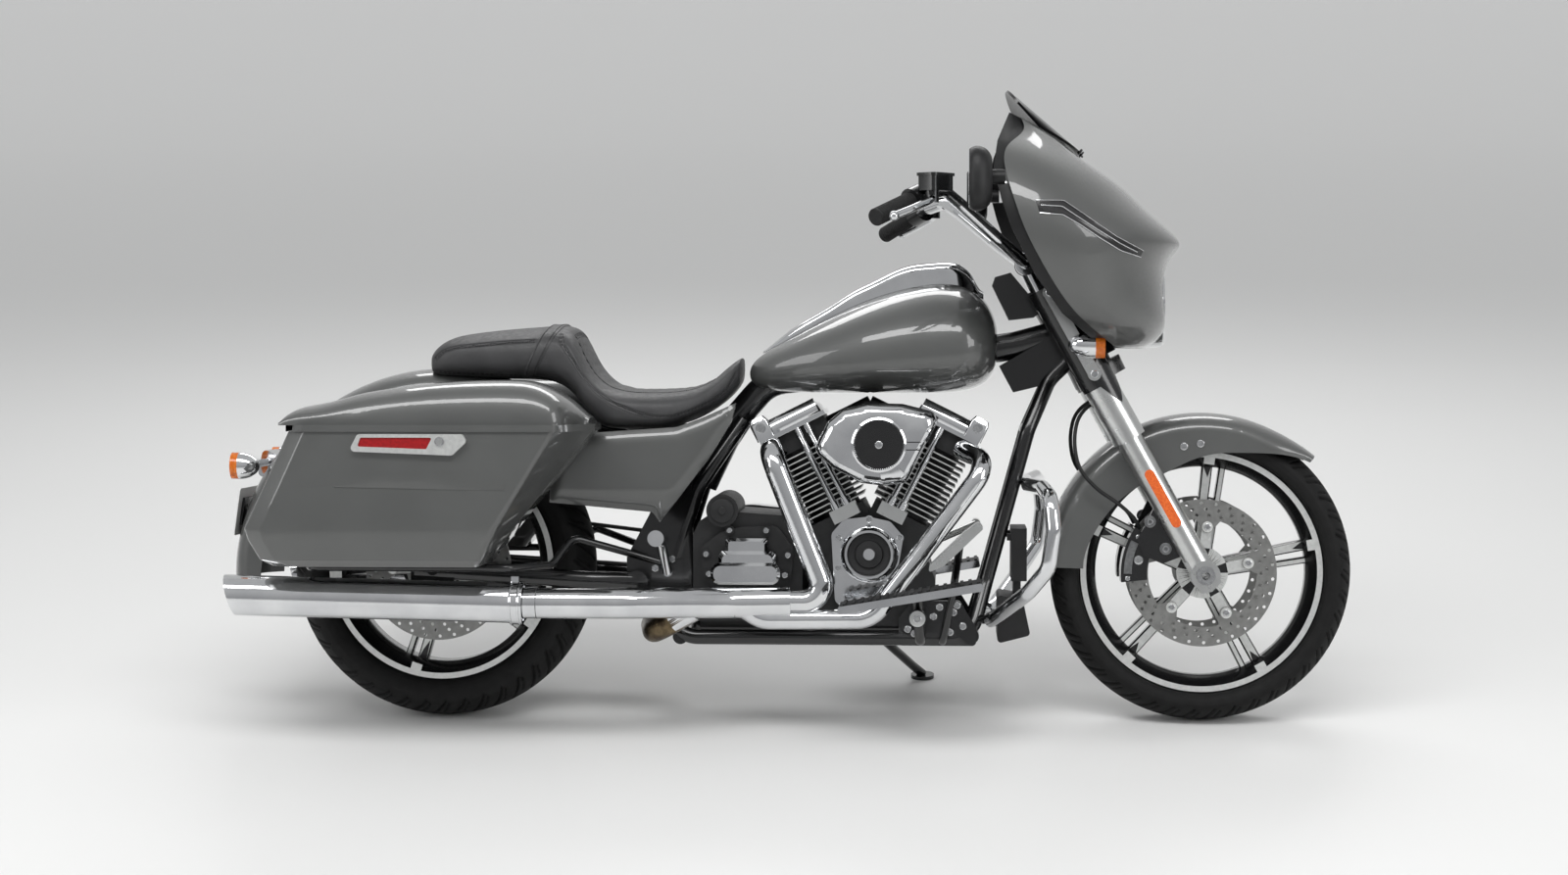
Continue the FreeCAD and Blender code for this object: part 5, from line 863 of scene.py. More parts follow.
def treadedTyre(node, name, axle, radius, width, rimRadius, rimWidth, crownRadius, columns):
    half, shoulder = width / 2, width / 2 - tread["shoulder"]
    top = radius - crownRadius + math.sqrt(crownRadius ** 2 - shoulder ** 2)
    bead = rimWidth / 2 - tread["flangeWidth"] - tread["gap"]
    foot, neck = rimRadius - tread["flangeHeight"] + tread["gap"], rimRadius + 3
    bulge = rimRadius + tread["bulgeShare"] * (radius - rimRadius)
    cy, cr = circleThrough((shoulder, top), (half, bulge), (bead, neck))
    wallRadius = math.hypot(shoulder - cy, top - cr)
    a0, a1 = math.atan2(top - cr, shoulder - cy), math.atan2(neck - cr, bead - cy)
    if a1 > a0:
        a1 -= 2 * math.pi
    wallArc = [(cy + wallRadius * math.cos(a), cr + wallRadius * math.sin(a))
               for a in np.linspace(a0, a1, tread["wallPoints"])]
    crown = [(y, radius - crownRadius + math.sqrt(crownRadius ** 2 - y ** 2))
             for y in np.linspace(-shoulder, shoulder, columns)]
    outer = [(-y, r) for y, r in reversed(wallArc)][:-1] + crown + wallArc[1:]
    inside = [(bead, foot), (bead - tread["wall"], foot), (half - tread["wall"] - 2, bulge), (shoulder - 8, top - 11)]
    profile = np.array(outer + inside + [(0, radius - 13)] + [(-y, r) for y, r in reversed(inside)])
    count, live = len(profile), len(outer)
    # arc length from the tyre's middle, and the outward direction in the section
    length = np.concatenate([[0], np.cumsum(np.linalg.norm(np.diff(profile[:live], axis=0), axis=1))])
    length -= length[live // 2]
    tangent = np.gradient(profile[:live], axis=0)
    tangent /= np.linalg.norm(tangent, axis=1)[:, None]
    outward = np.stack([-tangent[:, 1], tangent[:, 0]], axis=1)
    share = np.abs(length) / abs(length[tread["wallPoints"] - 1])
    pitch = 2 * math.pi * radius / round(2 * math.pi * radius / tread["pitch"])
    angles = np.linspace(0, 2 * math.pi, tread["steps"], endpoint=False)
    phase = np.where(length > 0, 0.5, 0.0) * pitch
    depth = np.zeros((tread["steps"], live))
    for offset, slant, grooveWidth, start, end, deep in tread["grooves"]:
        line = angles[:, None] * radius - np.abs(length)[None, :] * slant - phase[None, :] - offset * pitch
        off = np.abs((line + pitch / 2) % pitch - pitch / 2) / math.sqrt(1 + slant ** 2)
        bank = np.clip(((grooveWidth + tread["bank"]) / 2 - off) / tread["bank"], 0, 1)
        span = np.clip((share - start) / 0.04, 0, 1) * np.clip((end - share) / 0.05, 0, 1)
        depth = np.maximum(depth, bank * span[None, :] * deep)
    # two low ribs run round each sidewall
    for mark in tread["ribs"]:
        depth -= (tread["ribHeight"] * np.exp(-((share - mark) / tread["ribWidth"]) ** 2))[None, :]
    section = np.repeat(profile[None, :, :], tread["steps"], axis=0)
    section[:, :live, :] -= outward[None, :, :] * depth[:, :, None]
    points = np.stack([axle[0] + section[:, :, 1] * np.cos(angles)[:, None], section[:, :, 0],
                       axle[2] + section[:, :, 1] * np.sin(angles)[:, None]], axis=2).reshape(-1, 3)
    a = np.arange(tread["steps"] * count).reshape(-1, count)
    b = np.roll(a, -1, axis=0)
    faces = np.stack([a, np.roll(a, -1, axis=1), np.roll(b, -1, axis=1), b], axis=2).reshape(-1, 4)
    newPiece(name, [(points, faces.tolist())], tyreRubber, node, 40, True)


treadedTyre("front_tyre", "frontTyreTread", frontAxle, 319.0, 130.0, 256.0, 94.0, 87.0, 43)
treadedTyre("rear_tyre", "rearTyreTread", rearAxle, 327.0, 180.0, 243.0, 140.0, 130.0, 53)
print("tyres moulded")


# Brake discs: floating steel bands with five lugs, drilled in slanting rows of three
brakeDisc = {"rim": 156.0, "inner": 115.0, "boltCircle": 98.0, "thickness": 5.0, "hole": 3.7, "rows": 30,
             "rowRadii": (123.0, 135.5, 148.0), "rowTwist": 3.6, "lugs": 5, "frontY": 75.0, "rearY": -104.0,
             "frontStart": 12.4, "rearStart": -34.0, "clear": 2.6,
             "lugShape": ((-4, -12.5), (-11, -7), (-13, 0), (-11, 7), (-4, 12.5))}
lugStep = 360.0 / brakeDisc["lugs"]


def circleOf(centre, radius, angles, way, size):
    # screws on a circle that faces sideways
    return [((centre[0] + radius * u, centre[1], centre[2] + radius * v), (0, way, 0), size)
            for u, v in map(around, angles)]


def discMesh(axle, y, start):
    outline = []
    for k in range(brakeDisc["lugs"]):
        middle = start + lugStep * k
        arc = np.linspace(middle - lugStep + 13, middle - 13, 14)
        outline += [np.array(around(t)) * brakeDisc["inner"] for t in arc]
        u, v = around(middle)
        for depth, off in brakeDisc["lugShape"]:
            reach = brakeDisc["boltCircle"] + depth
            outline.append((reach * u - off * v, reach * v + off * u))
    holes = [np.array(around(360.0 * k / brakeDisc["rows"] + brakeDisc["rowTwist"] * n)) * reach
             for k in range(brakeDisc["rows"]) for n, reach in enumerate(brakeDisc["rowRadii"])]
    count = len(outline)
    mesh = bpy.data.meshes.new("disc")
    mesh.from_pydata([(u / 1000, v / 1000, 0.0) for u, v in outline + holes],
                     [(i, (i + 1) % count) for i in range(count)], [])
    mesh.attributes.new("hole", "FLOAT", "POINT").data.foreach_set("value", [0.0] * count + [1.0] * len(holes))
    holder = shown("disc", mesh)
    made = grow(holder, drilledPlate, Rim=brakeDisc["rim"] / 1000, Hole=brakeDisc["hole"] / 1000,
                Thickness=brakeDisc["thickness"] / 1000, Material=discSteel)
    u, v, w = readAll(made.vertices, "co").T * 1000
    places = np.stack([axle[0] + u, y - brakeDisc["thickness"] / 2 + w, axle[2] + v], axis=1)
    made.vertices.foreach_set("co", lean(places).ravel())
    bpy.data.objects.remove(holder)
    made = reworked([made], cleaned)
    smoothByAngle(made, 30)
    return made


frontPair = [discMesh(frontAxle, brakeDisc["frontY"] * side, brakeDisc["frontStart"]) for side in (-1, 1)]
settle(shown("frontDiscs", reworked(frontPair)), "front_discs", True)
polished("rear_disc_and_pulley", [discSteel], drop=lambda places: places[:, 1] < 0,
         extra=discMesh(rearAxle, brakeDisc["rearY"], brakeDisc["rearStart"]))
discSets = [("front_discs", frontAxle, brakeDisc["frontY"], brakeDisc["frontStart"], (-1, 1)),
            ("rear_disc_and_pulley", rearAxle, -brakeDisc["rearY"], brakeDisc["rearStart"], (-1,))]
for slot, axle, y, start, sides in discSets:
    for part, head, out, size, material in (("Washers", buttonHead, 0.0, (11.5, 11.5, 3.0), machined),
                                            ("Bolts", socketHead, 3.0, (7.2, 7.2, 3.4), screwSteel)):
        spots = []
        for side in sides:
            spots += circleOf((axle[0], side * (y + brakeDisc["clear"] + out), axle[2]), brakeDisc["boltCircle"],
                              [start + lugStep * k for k in range(brakeDisc["lugs"])], side, size)
        repeats(slot + part, head, spots, material, slot)
print("brake discs drilled")


# Seat: the CAD cushion's shape, made a little smaller, blown up as cloth with its seams held down
seatMake = {"voxel": 0.0055, "shrink": 0.0035, "pressure": 3.6, "frames": 20, "cap": 0.022, "held": 7.5,
            "seamDepth": 5.0, "seamWidth": 4.4, "cord": 1.0, "stitchOff": 3.6, "strapLift": 3.2, "strapDepth": 3.6,
            "strapRows": 57, "strapColumns": 7, "strapAngle": 104}
sideSeams = {
    "passengerTop": [(-4, 772), (13, 789), (42, 799), (95, 804), (153, 810), (212, 813)],
    "passengerLow": [(-12, 743), (24, 738), (96, 736), (180, 732)],
    "bolster": [(268, 827), (273, 806), (292, 777), (320, 737), (349, 706), (387, 679), (434, 659), (477, 648),
                (510, 648), (548, 660), (591, 680), (622, 704), (640, 738)],
    "skirt": [(206, 732), (244, 725), (282, 697), (320, 664), (336, 646)]}
saddleEdge = [(300, 96), (318, 104), (345, 112), (380, 118), (430, 120), (490, 116), (545, 104), (590, 84)]


def seamRoutes(surface):
    # (place, normal) along each seam: four on each flank and a ring round the saddle
    routes = [[struck(surface, (x, side * 400.0, z), (0, -side, 0), (x, side * 150.0, z))
               for x, z in spaced(route, max(10, len(route) * 5))]
              for side in (-1, 1) for route in sideSeams.values()]
    edge = spaced(saddleEdge, 26)
    ring = [(x, -y) for x, y in edge] + [(x, y) for x, y in edge[::-1]]
    return routes + [[struck(surface, (x, y, 1000.0), (0, 0, -1)) for x, y in spaced(ring + ring[:1], 110)]]


def swell(holder, held, start):
    # cloth under pressure, held at the marked points; no point moves further than the cap
    holder.vertex_groups.new(name="held").add([int(i) for i in np.nonzero(held)[0]], 1.0, "REPLACE")
    cloth = holder.modifiers.new("padding", "CLOTH")
    for key, value in (("quality", 6), ("mass", 0.3), ("tension_stiffness", 12.0), ("compression_stiffness", 12.0),
                       ("bending_stiffness", 0.6), ("use_pressure", True), ("vertex_group_mass", "held"),
                       ("uniform_pressure_force", seatMake["pressure"])):
        setattr(cloth.settings, key, value)
    cloth.settings.effector_weights.gravity = 0.0
    cloth.point_cache.frame_start, cloth.point_cache.frame_end = 1, seatMake["frames"]
    for step in range(1, seatMake["frames"] + 1):
        bpy.context.scene.frame_set(step)
    swollen = holder.evaluated_get(bpy.context.evaluated_depsgraph_get()).to_mesh()
    moved = readAll(swollen.vertices, "co") - start
    holder.modifiers.clear()
    bpy.context.scene.frame_set(1)
    reach = np.linalg.norm(moved, axis=1)
    scale = np.minimum(1.0, seatMake["cap"] / np.maximum(reach, 1e-9))
    holder.data.vertices.foreach_set("co", (start + moved * scale[:, None]).ravel())
    print("seat swelled by up to %.1f mm" % (1000 * (reach * scale).max()))


def makeSeat():
    routes = seamRoutes(surfaceOf("seat"))
    holder = shown("seatCover", reworked([frame["nodes"]["seat"].data], weld))
    remesh = holder.modifiers.new("even skin", "REMESH")
    remesh.mode, remesh.voxel_size, remesh.use_smooth_shade = "VOXEL", seatMake["voxel"], True
    mesh = applied(holder)
    start = readAll(mesh.vertices, "co") - readAll(mesh.vertex_normals, "vector") * seatMake["shrink"]
    mesh.vertices.foreach_set("co", start.ravel())
    seamPoints = [tuple(p) for route in routes for p, _ in route]
    tree = BVHTree.FromPolygons(seamPoints, [(i, i, i) for i in range(len(seamPoints))])
    facings = readAll(mesh.vertex_normals, "vector") @ leanTurn
    away = np.array([tree.find_nearest(Vector(p))[3] for p in unlean(start)])
    swell(holder, (away < seatMake["held"]) | (facings[:, 2] < -0.25), start)
    smooth = holder.modifiers.new("even", "SMOOTH")
    smooth.factor, smooth.iterations = 0.5, 4
    finer = holder.modifiers.new("finer", "SUBSURF")
    finer.levels = finer.render_levels = 1
    mesh = applied(holder)
    # the seams pull the cover in
    places = unlean(readAll(mesh.vertices, "co"))
    away = np.array([tree.find_nearest(Vector(p))[3] for p in places])
    pull = seatMake["seamDepth"] * np.exp(-(away / seatMake["seamWidth"]) ** 2)
    places -= (readAll(mesh.vertex_normals, "vector") @ leanTurn) * pull[:, None]
    mesh.vertices.foreach_set("co", lean(places).ravel())
    mesh.materials.clear()
    mesh.materials.append(vinyl)
    smoothByAngle(mesh, 60)
    settle(holder, "seat", True)
    return skinOf(mesh), routes


seatSkin, seatRoutes = makeSeat()
print("seat covered")


def onSkin(point, lift):
    place, normal, _, _ = seatSkin.find_nearest(Vector(point))
    return np.array(place) + np.array(normal) * lift


def besideSeam(route, off):
    line = []
    for i, (place, normal) in enumerate(route):
        way = route[min(i + 1, len(route) - 1)][0] - route[max(i - 1, 0)][0]
        across = np.cross(unit(normal), unit(way) if np.linalg.norm(way) > 1e-6 else np.array([1.0, 0, 0]))
        line.append(onSkin(place + unit(across) * off, 0.35))
    return line


def stitchRow(name, lines):
    # lines of upright points become rows of stitches on the seat
    points, edges = [], []
    for line in lines:
        edges += [(i, i + 1) for i in range(len(points), len(points) + len(line) - 1)]
        points.extend(line)
    mesh = bpy.data.meshes.new(name)
    mesh.from_pydata(lean(points).tolist(), edges, [])
    holder = shown(name, mesh)
    smoothByAngle(grow(holder, stitchLine, Material=thread), 50)
    settle(holder, "seat")


# the strap's foot and rise, its two edges with their drift over that rise, and where the rays for it start
strapLine = {"foot": 727.0, "rise": 116.0, "back": (184.0, 53.0), "fore": (208.0, 60.0), "reach": 420.0,
             "centreZ": 770.0}


def strapRow(degrees):
    # (place, normal) across the passenger strap, which runs over the seat from one flank to the other
    v, u = around(degrees)
    row = []
    for share in np.linspace(0, 1, seatMake["strapColumns"]):
        z = 800.0
        for _ in range(3):
            up = np.clip((z - strapLine["foot"]) / strapLine["rise"], 0, 1)
            back, fore = (at + drift * up for at, drift in (strapLine["back"], strapLine["fore"]))
            x = back * (1 - share) + fore * share
            start = (x, strapLine["reach"] * u, strapLine["centreZ"] + strapLine["reach"] * v)
            place, normal = struck(seatSkin, start, (0, -u, -v), start)
            z = place[2]
        row.append((place, normal))
    return row


stitchRow("seatStitches", [besideSeam(route, off) for route in seatRoutes
                           for off in (-seatMake["stitchOff"], seatMake["stitchOff"])])
# a fine dark cord lies in each seam
newPiece("seatSeams", [rod([onSkin(place, -0.3) for place, _ in route], seatMake["cord"], 6) for route in seatRoutes],
         thread, "seat", 60)
strap = [strapRow(t) for t in np.linspace(-seatMake["strapAngle"], seatMake["strapAngle"], seatMake["strapRows"])]
top, under = [], []
for row in strap:
    for n, (place, normal) in enumerate(row):
        lift = seatMake["strapLift"] * (1.0 if 0 < n < len(row) - 1 else 0.35)
        top.append(place + normal * lift)
        under.append(place + normal * (lift - seatMake["strapDepth"]))
newPiece("seatStrap", [closedGrid(top, under, len(strap), len(strap[0]))], vinyl, "seat", 50)
stitchRow("strapStitches", [[row[n][0] + row[n][1] * (seatMake["strapLift"] + 0.2) for row in strap] for n in (1, -2)])
print("seams stitched")


# Screws and bolts: (place, facing, (radius, radius, height))
def sideScrews(spots, y, size, way=-1):
    return [((x, y, z), (0, way, 0), size) for x, z in spots]


gearCoverSpots = [(627, 410), (704, 410), (577, 360), (750, 358), (583, 318), (744, 316)]
boltSets = [
    ("gearCoverScrews", socketHead, sideScrews(gearCoverSpots, -141, (6.2, 6.2, 5.5)), screwSteel, "engine_covers"),
    ("camCoverScrews", socketHead, circleOf((922, -154, 362), 72, (28, 90, 152, 205, 300), -1, (6.0, 6.0, 5.0)),
     screwSteel, "engine_covers"),
    ("primaryScrews", socketHead, circleOf((920, 206, 322), 90, (-80, -40, 0, 40, 80), 1, (6.2, 6.2, 5.0))
     + circleOf((655, 206, 334), 104, (100, 140, 180, 220, 260), 1, (6.2, 6.2, 5.0)), screwSteel, "engine_covers"),
    ("backplateBolts", socketHead, sideScrews([(887, 524), (921, 521), (955, 519)], -206.5, (5.5, 5.5, 5)),
     blackSteel, "air_cleaner"),
    ("airDiscScrew", socketHead, sideScrews([(944, 594)], -239, (8.0, 8.0, 4.0)), screwSteel, "air_cleaner"),
    ("starterEnd", buttonHead, sideScrews([(612, 452)], -150, (25, 25, 6)) + sideScrews([(612, 452)], -156, (8, 8, 5)),
     wrinkle, "transmission"),
    ("pegBolts", hexHead, sideScrews([(496, 322), (470, 330)], -146, (8, 8, 5)), screwSteel, "footboards")]
rockerSpots = []
for side in (-1, 1):
    u, v = around(vee["halfAngle"] * side)
    up, across = np.array([v, 0, u]), np.array([u, 0, -v])
    head = np.array(vee["crank"]) + up * vee["headAt"]
    for offset, y in ((-60, -88), (60, -88), (-60, 78), (60, 78), (0, 82), (0, -91)):
        rockerSpots.append((head + up * 10 + across * offset + np.array([0, y, 0]), up, (6.5, 6.5, 9)))
    rockerSpots.append((head + up * 34 + across * side * 60 + np.array([0, -103, 0]), (0, -1, 0), (11, 11, 2.5)))
boltSets.append(("rockerScrews", socketHead, rockerSpots, screwSteel, "rocker_covers"))

clampOut = stance["forkSpacing"] + 49.3
steeringBolts, fenderScrews = [], []
for side in (-1, 1):
    steeringBolts += [(forkPoint(s, side * 110.6), (0, side, 0), (7.5, 7.5, 5)) for s in (238, 286)]
    steeringBolts += [(forkPoint(s, side * clampOut), (0, side, 0), (8, 8, 5)) for s in (676, 482)]
    steeringBolts += [((x, side * 45, z), (0, 0, 1), (6, 6, 5)) for x, z in ((1252, 996), (1240, 995))]
    for x, z in ((1584, 587), (1619, 593)):
        place, normal = struck(surfaceOf("front_fender"), (x, side * 300, z), (0, -side, 0))
        fenderScrews.append((place - normal * 0.5, normal, (8, 8, 3)))
boltSets += [("forkBolts", socketHead, steeringBolts, screwSteel, "fork_legs"),
             ("frontFenderScrews", socketHead, fenderScrews, screwSteel, "front_fender")]
for boltSet in boltSets:
    repeats(*boltSet)
print("screws set")


# Hand grips: rows of raised ribs; the footboards' rubber: ribs across
ribs = {"gripFirst": 42.0, "gripPitch": 6.2, "gripCount": 16, "gripRadius": 17.0, "boardPitch": 17, "boardCount": 17,
        "boardBack": 878, "boardRise": 50.0 / 294, "boardY": 330, "boardZ": 271.3, "boardHinge": 866,
        "boardSize": (7.0, 112.0, 5.0), "boardWay": (0.985, 0, 0.17)}
gripRings, boardRibs = [], []
for side in (-1, 1):
    inner, outer, way, _ = gripEnds(side)
    spots = [inner + way * (ribs["gripFirst"] + ribs["gripPitch"] * k) for k in range(ribs["gripCount"])]
    gripRings += [(spot, way, ribs["gripRadius"]) for spot in spots + [outer - way * 3]]
    for k in range(ribs["boardCount"]):
        x = ribs["boardBack"] + ribs["boardPitch"] * k
        place = (x, side * ribs["boardY"], ribs["boardZ"] + (x - ribs["boardHinge"]) * ribs["boardRise"])
        across, _, lift = ribs["boardWay"]
        boardRibs.append((place, (-lift, 0, across), ribs["boardSize"], ribs["boardWay"]))
repeats("gripRibs", hoopWire, gripRings, gripRubber, "hand_controls", Wire=0.075)
repeats("boardRibs", ribBar, boardRibs, gripRubber, "footboards")
print("ribs set")


# Saddlebag locks, clamp and seam rings of the exhaust, grooves beside the air cleaner's disc
lockSpots = [((67.0, side * 466.0, 606.0), (0, side, 0), (10, 10, 3)) for side in (-1, 1)]
repeats("bagLocks", buttonHead, lockSpots, screwSteel, "saddlebag_right")
lockCores = [(np.array(place) + np.array(way) * 3.0, way, (6.5, 6.5, 1.2)) for place, way, _ in lockSpots]
repeats("bagLockCores", socketHead, lockCores, turnedMetal, "saddlebag_right")
clampHoops = [((x, side * 300.0, 268.3), (1, 0, 0), 45.0) for side in (-1, 1) for x in (188, 205)]
repeats("silencerClampEdges", hoopWire, clampHoops, chrome, "silencers", Wire=0.05)
seamHoops = [((644, -212, 262), (1, 0, 0.02), 32.4), ((240, -300, 268), (1, 0, 0), 32.4),
             ((240, 300, 268), (1, 0, 0), 24.4)]
repeats("pipeSeams", hoopWire, seamHoops, castGrey, "exhaust_pipes", Wire=0.025)
grooves = []
for z in (599.5, 583.5):
    place, normal = struck(surfaceOf("air_cleaner"), (1014.0, -600.0, z), (0, 1, 0))
    grooves.append((place - normal * 0.4, normal, (34.0, 2.2, 0.9), (1, 0, 0)))
repeats("cleanerGrooves", ribBar, grooves, powder, "air_cleaner")


# Fairing: a vent each side, two dark slots with bright lips, laid on the skin
vent = {"edge": [[(1262, 1091), (1318, 1091), (1341, 1076), (1384, 1047), (1426, 1020), (1484, 993)],
                 [(1270, 1065), (1316, 1062), (1350, 1043), (1392, 1016), (1435, 992), (1478, 980)]],
        "upper": [[(1270, 1088), (1317, 1087), (1341, 1071), (1386, 1042), (1432, 1014), (1474, 994)],
                  [(1272, 1081), (1315, 1079), (1339, 1063), (1385, 1034), (1434, 1006), (1470, 990)]],
        "lower": [[(1276, 1074), (1316, 1071), (1345, 1053), (1389, 1025), (1434, 1000), (1469, 986)],
                  [(1278, 1068), (1316, 1065), (1349, 1046), (1391, 1019), (1434, 995), (1468, 983)]],
        "depth": 2.2, "trimLift": 1.3}


def onFairing(x, z, side, lifts):
    place, normal = struck(surfaceOf("outer_fairing"), (x, side * 600.0, z), (0, -side, 0))
    return [place + normal * lift for lift in lifts]


bezels, slots, trims = [], [], []
for side in (-1, 1):
    for store, part, lift in ((bezels, "edge", 0.7), (slots, "upper", 1.3), (slots, "lower", 1.3)):
        lines = [spaced(line, 34) for line in vent[part]]
        skin = [onFairing(x, z, side, (lift, lift - vent["depth"])) for p, q in zip(*lines)
                for x, z in np.linspace(p, q, 4)]
        store.append(closedGrid([a for a, _ in skin], [b for _, b in skin], 34, 4))
    for part, line, radius in (("edge", 0, 0.8), ("upper", 1, 1.2), ("edge", 1, 1.2)):
        trims.append(rod([onFairing(x, z, side, [vent["trimLift"]])[0] for x, z in spaced(vent[part][line], 40)],
                         radius, 8))
newPiece("ventEdges", bezels, powder, "outer_fairing", 40)
newPiece("ventSlots", slots, matteAbs, "outer_fairing", 40)
newPiece("ventTrims", trims, chrome, "outer_fairing", 40)
screenScrews = []
for y in (-120, -40, 40, 120):
    place, normal = struck(surfaceOf("windshield"), (1700, y, 1300 - abs(y) * 0.1), (-0.9, 0, -0.25))
    screenScrews.append((place - normal * 0.4, normal, (7, 7, 3)))
repeats("screenScrews", socketHead, screenScrews, blackSteel, "windshield")
print("fairing trimmed")


# Headlamp: reflector bowl, two bulbs' shields and a clear cover in a bright ring; profiles in (along, radius)
headlamp = {"x": 1530.0, "z": 884.0, "glass": 78.0, "domeRadius": 260.0, "domeBack": 242.0,
            "bowl": [(6.0, 77.5), (-8.0, 74.0), (-24.0, 62.0), (-36.0, 42.0), (-42.0, 18.0), (-43.0, 0.0),
                     (-46.0, 0.0), (-45.0, 20.0), (-39.0, 45.0), (-27.0, 66.0), (-10.0, 79.0), (6.0, 80.5),
                     (6.0, 77.5)],
            "ring": [(-6.0, 77.0), (8.0, 77.2), (12.5, 79.5), (14.0, 83.0), (11.0, 86.6), (4.0, 87.9), (-6.0, 87.9),
                     (-6.0, 77.0)],
            "barrel": [(-20.0, 0.0), (-20.0, 20.0), (-42.0, 20.0), (-42.0, 0.0)], "barrelY": 34}


def lampFront(places):
    # the solid's plain lamp face, which the pieces below take the place of
    reach = np.hypot(places[:, 1], places[:, 2] - headlamp["z"])
    return (np.abs(places[:, 1]) < 120) & (places[:, 0] > headlamp["x"] - 1) & (reach < 89)


def inLamp(profile, y=0, segments=64):
    return lathe(profile, (headlamp["x"], y, headlamp["z"]), (1, 0, 0), segments)


polished("front_lamps", [chrome, amberLens, turnedMetal], lampFaces, drop=lampFront)
newPiece("headlampBowl", [inLamp(headlamp["bowl"]), inLamp(headlamp["ring"], segments=72)], chrome, "front_lamps")
newPiece("headlampShields", [inLamp(headlamp["barrel"], y, 32) for y in (-headlamp["barrelY"], headlamp["barrelY"])],
         powder, "front_lamps")
dome = [(math.sqrt(headlamp["domeRadius"] ** 2 - r ** 2) - headlamp["domeBack"], r)
        for r in np.linspace(0, headlamp["glass"], 12)]
newPiece("headlampGlass", [inLamp(dome + [(x - 3.0, max(r - 1, 0)) for x, r in reversed(dome)])], clearLens,
         "front_lamps")
print("headlamp fitted")


# Fork: an orange reflector each side, with round ends
reflector = {"at": 184, "y": 153.5, "halfWidth": 10.5, "halfHeight": 68.0, "depth": 3.2, "bevel": 1.2}
straight = reflector["halfHeight"] - reflector["halfWidth"]
outline = [(reflector["halfWidth"] * math.cos(t), end * straight + reflector["halfWidth"] * math.sin(t))
           for end, first in ((1, 0), (-1, math.pi)) for t in np.linspace(first, first + math.pi, 9)]
newPiece("forkReflectors", [slab(outline, forkPoint(reflector["at"], side * reflector["y"]), forkFore * -side, forkUp,
                                 reflector["depth"], reflector["bevel"]) for side in (-1, 1)],
         reflectorOrange, "fork_legs", 30)
print("reflectors fitted")


# Calipers: a bright curved plate with three bolts; above them a black pointed tongue over each sleeve
caliperTrim = {"y": 107.5, "radii": (151.0, 168.0), "angles": (155.0, 180.0),
               "bolts": [(140.0, 168.0, 9.5), (158.0, 150.5, 5.0), (160.0, 183.5, 5.0)]}
tongue = {"top": 455, "length": 52, "rows": 12, "columns": 9, "halfAngle": 44, "pointAngle": 0.2292, "turn": 40,
          "outside": 38.4, "thinning": 1.2, "inside": 35.6}
plates, caliperBolts, tongues = [], [], []
for side in (-1, 1):
    flat = [(-side * r * u, r * v) for r, angles in zip(caliperTrim["radii"][::-1], (caliperTrim["angles"],
            caliperTrim["angles"][::-1])) for u, v in (around(t) for t in np.linspace(*angles, 9))]
    plates.append(slab(flat, (frontAxle[0], side * (caliperTrim["y"] + 1.8), frontAxle[2]), (-side, 0, 0), (0, 0, 1),
                       2.4, 0.7))
    for r, t, size in caliperTrim["bolts"]:
        caliperBolts += circleOf((frontAxle[0], side * (caliperTrim["y"] - 0.3), frontAxle[2]), r, [t], side,
                                 (size, size, 3.2))
    top, bottom = [], []
    for share in np.linspace(0, 1, tongue["rows"]):
        half = tongue["halfAngle"] * (1 - share) ** 0.85 + tongue["pointAngle"]
        for part in np.linspace(-1, 1, tongue["columns"]):
            u, v = around(tongue["turn"] + half * part)
            out = np.array([0, side, 0]) * u + forkFore * v
            spot = forkPoint(tongue["top"] - tongue["length"] * share, side * stance["forkSpacing"])
            top.append(spot + out * (tongue["outside"] - tongue["thinning"] * share))
            bottom.append(spot + out * tongue["inside"])
    tongues.append(closedGrid(top, bottom, tongue["rows"], tongue["columns"]))
newPiece("caliperPlates", plates, castGrey, "front_calipers", 30)
repeats("caliperBolts", socketHead, caliperBolts, screwSteel, "front_calipers")
newPiece("forkTongues", tongues, powder, "triple_clamps", 40)

# bolts at (x, z) as they show from a side, each on what stands there
caliperMounts = [(1502, 455), (1511, 430), (1544, 373)]
lowSpots = [(1057, 229), (1070, 249), (1099, 238), (1107, 253), (1003, 202), (1017, 193), (1092, 196), (1119, 209),
            (1137, 253)]
chassisSide = ["frame", "footboards", "engine_case", "foot_controls", "swingarm", "transmission", "engine_covers"]
castSets = []
for name, side in (("right", -1), ("left", 1)):
    castSets += [(name + "CaliperBosses", buttonHead, caliperMounts, ["fork_legs"], side, (12.5, 12.5, 4.0), castGrey),
                 (name + "CaliperMounts", socketHead, caliperMounts, ["fork_legs"], side, (7.5, 7.5, 8.0), screwSteel)]
castSets += [("lowBolts", socketHead, lowSpots, chassisSide, -1, (7.5, 7.5, 5.0), screwSteel),
             ("pegFrameBolts", hexHead, [(377, 362), (501, 346)], chassisSide, -1, (8.0, 8.0, 5.0), screwSteel)]
for pivots, screws, side in (("boardPivots", "boardPivotScrews", -1), ("leftBoardPivots", "leftPivotScrews", 1)):
    castSets += [(pivots, buttonHead, [(1025, 239)], ["footboards"], side, (16.5, 16.5, 3.0), turnedMetal),
                 (screws, socketHead, [(1025, 239)], ["footboards"], side, (8.5, 8.5, 6.0), screwSteel)]
for castSet in castSets:
    castBolts(*castSet)
print("small fittings placed")


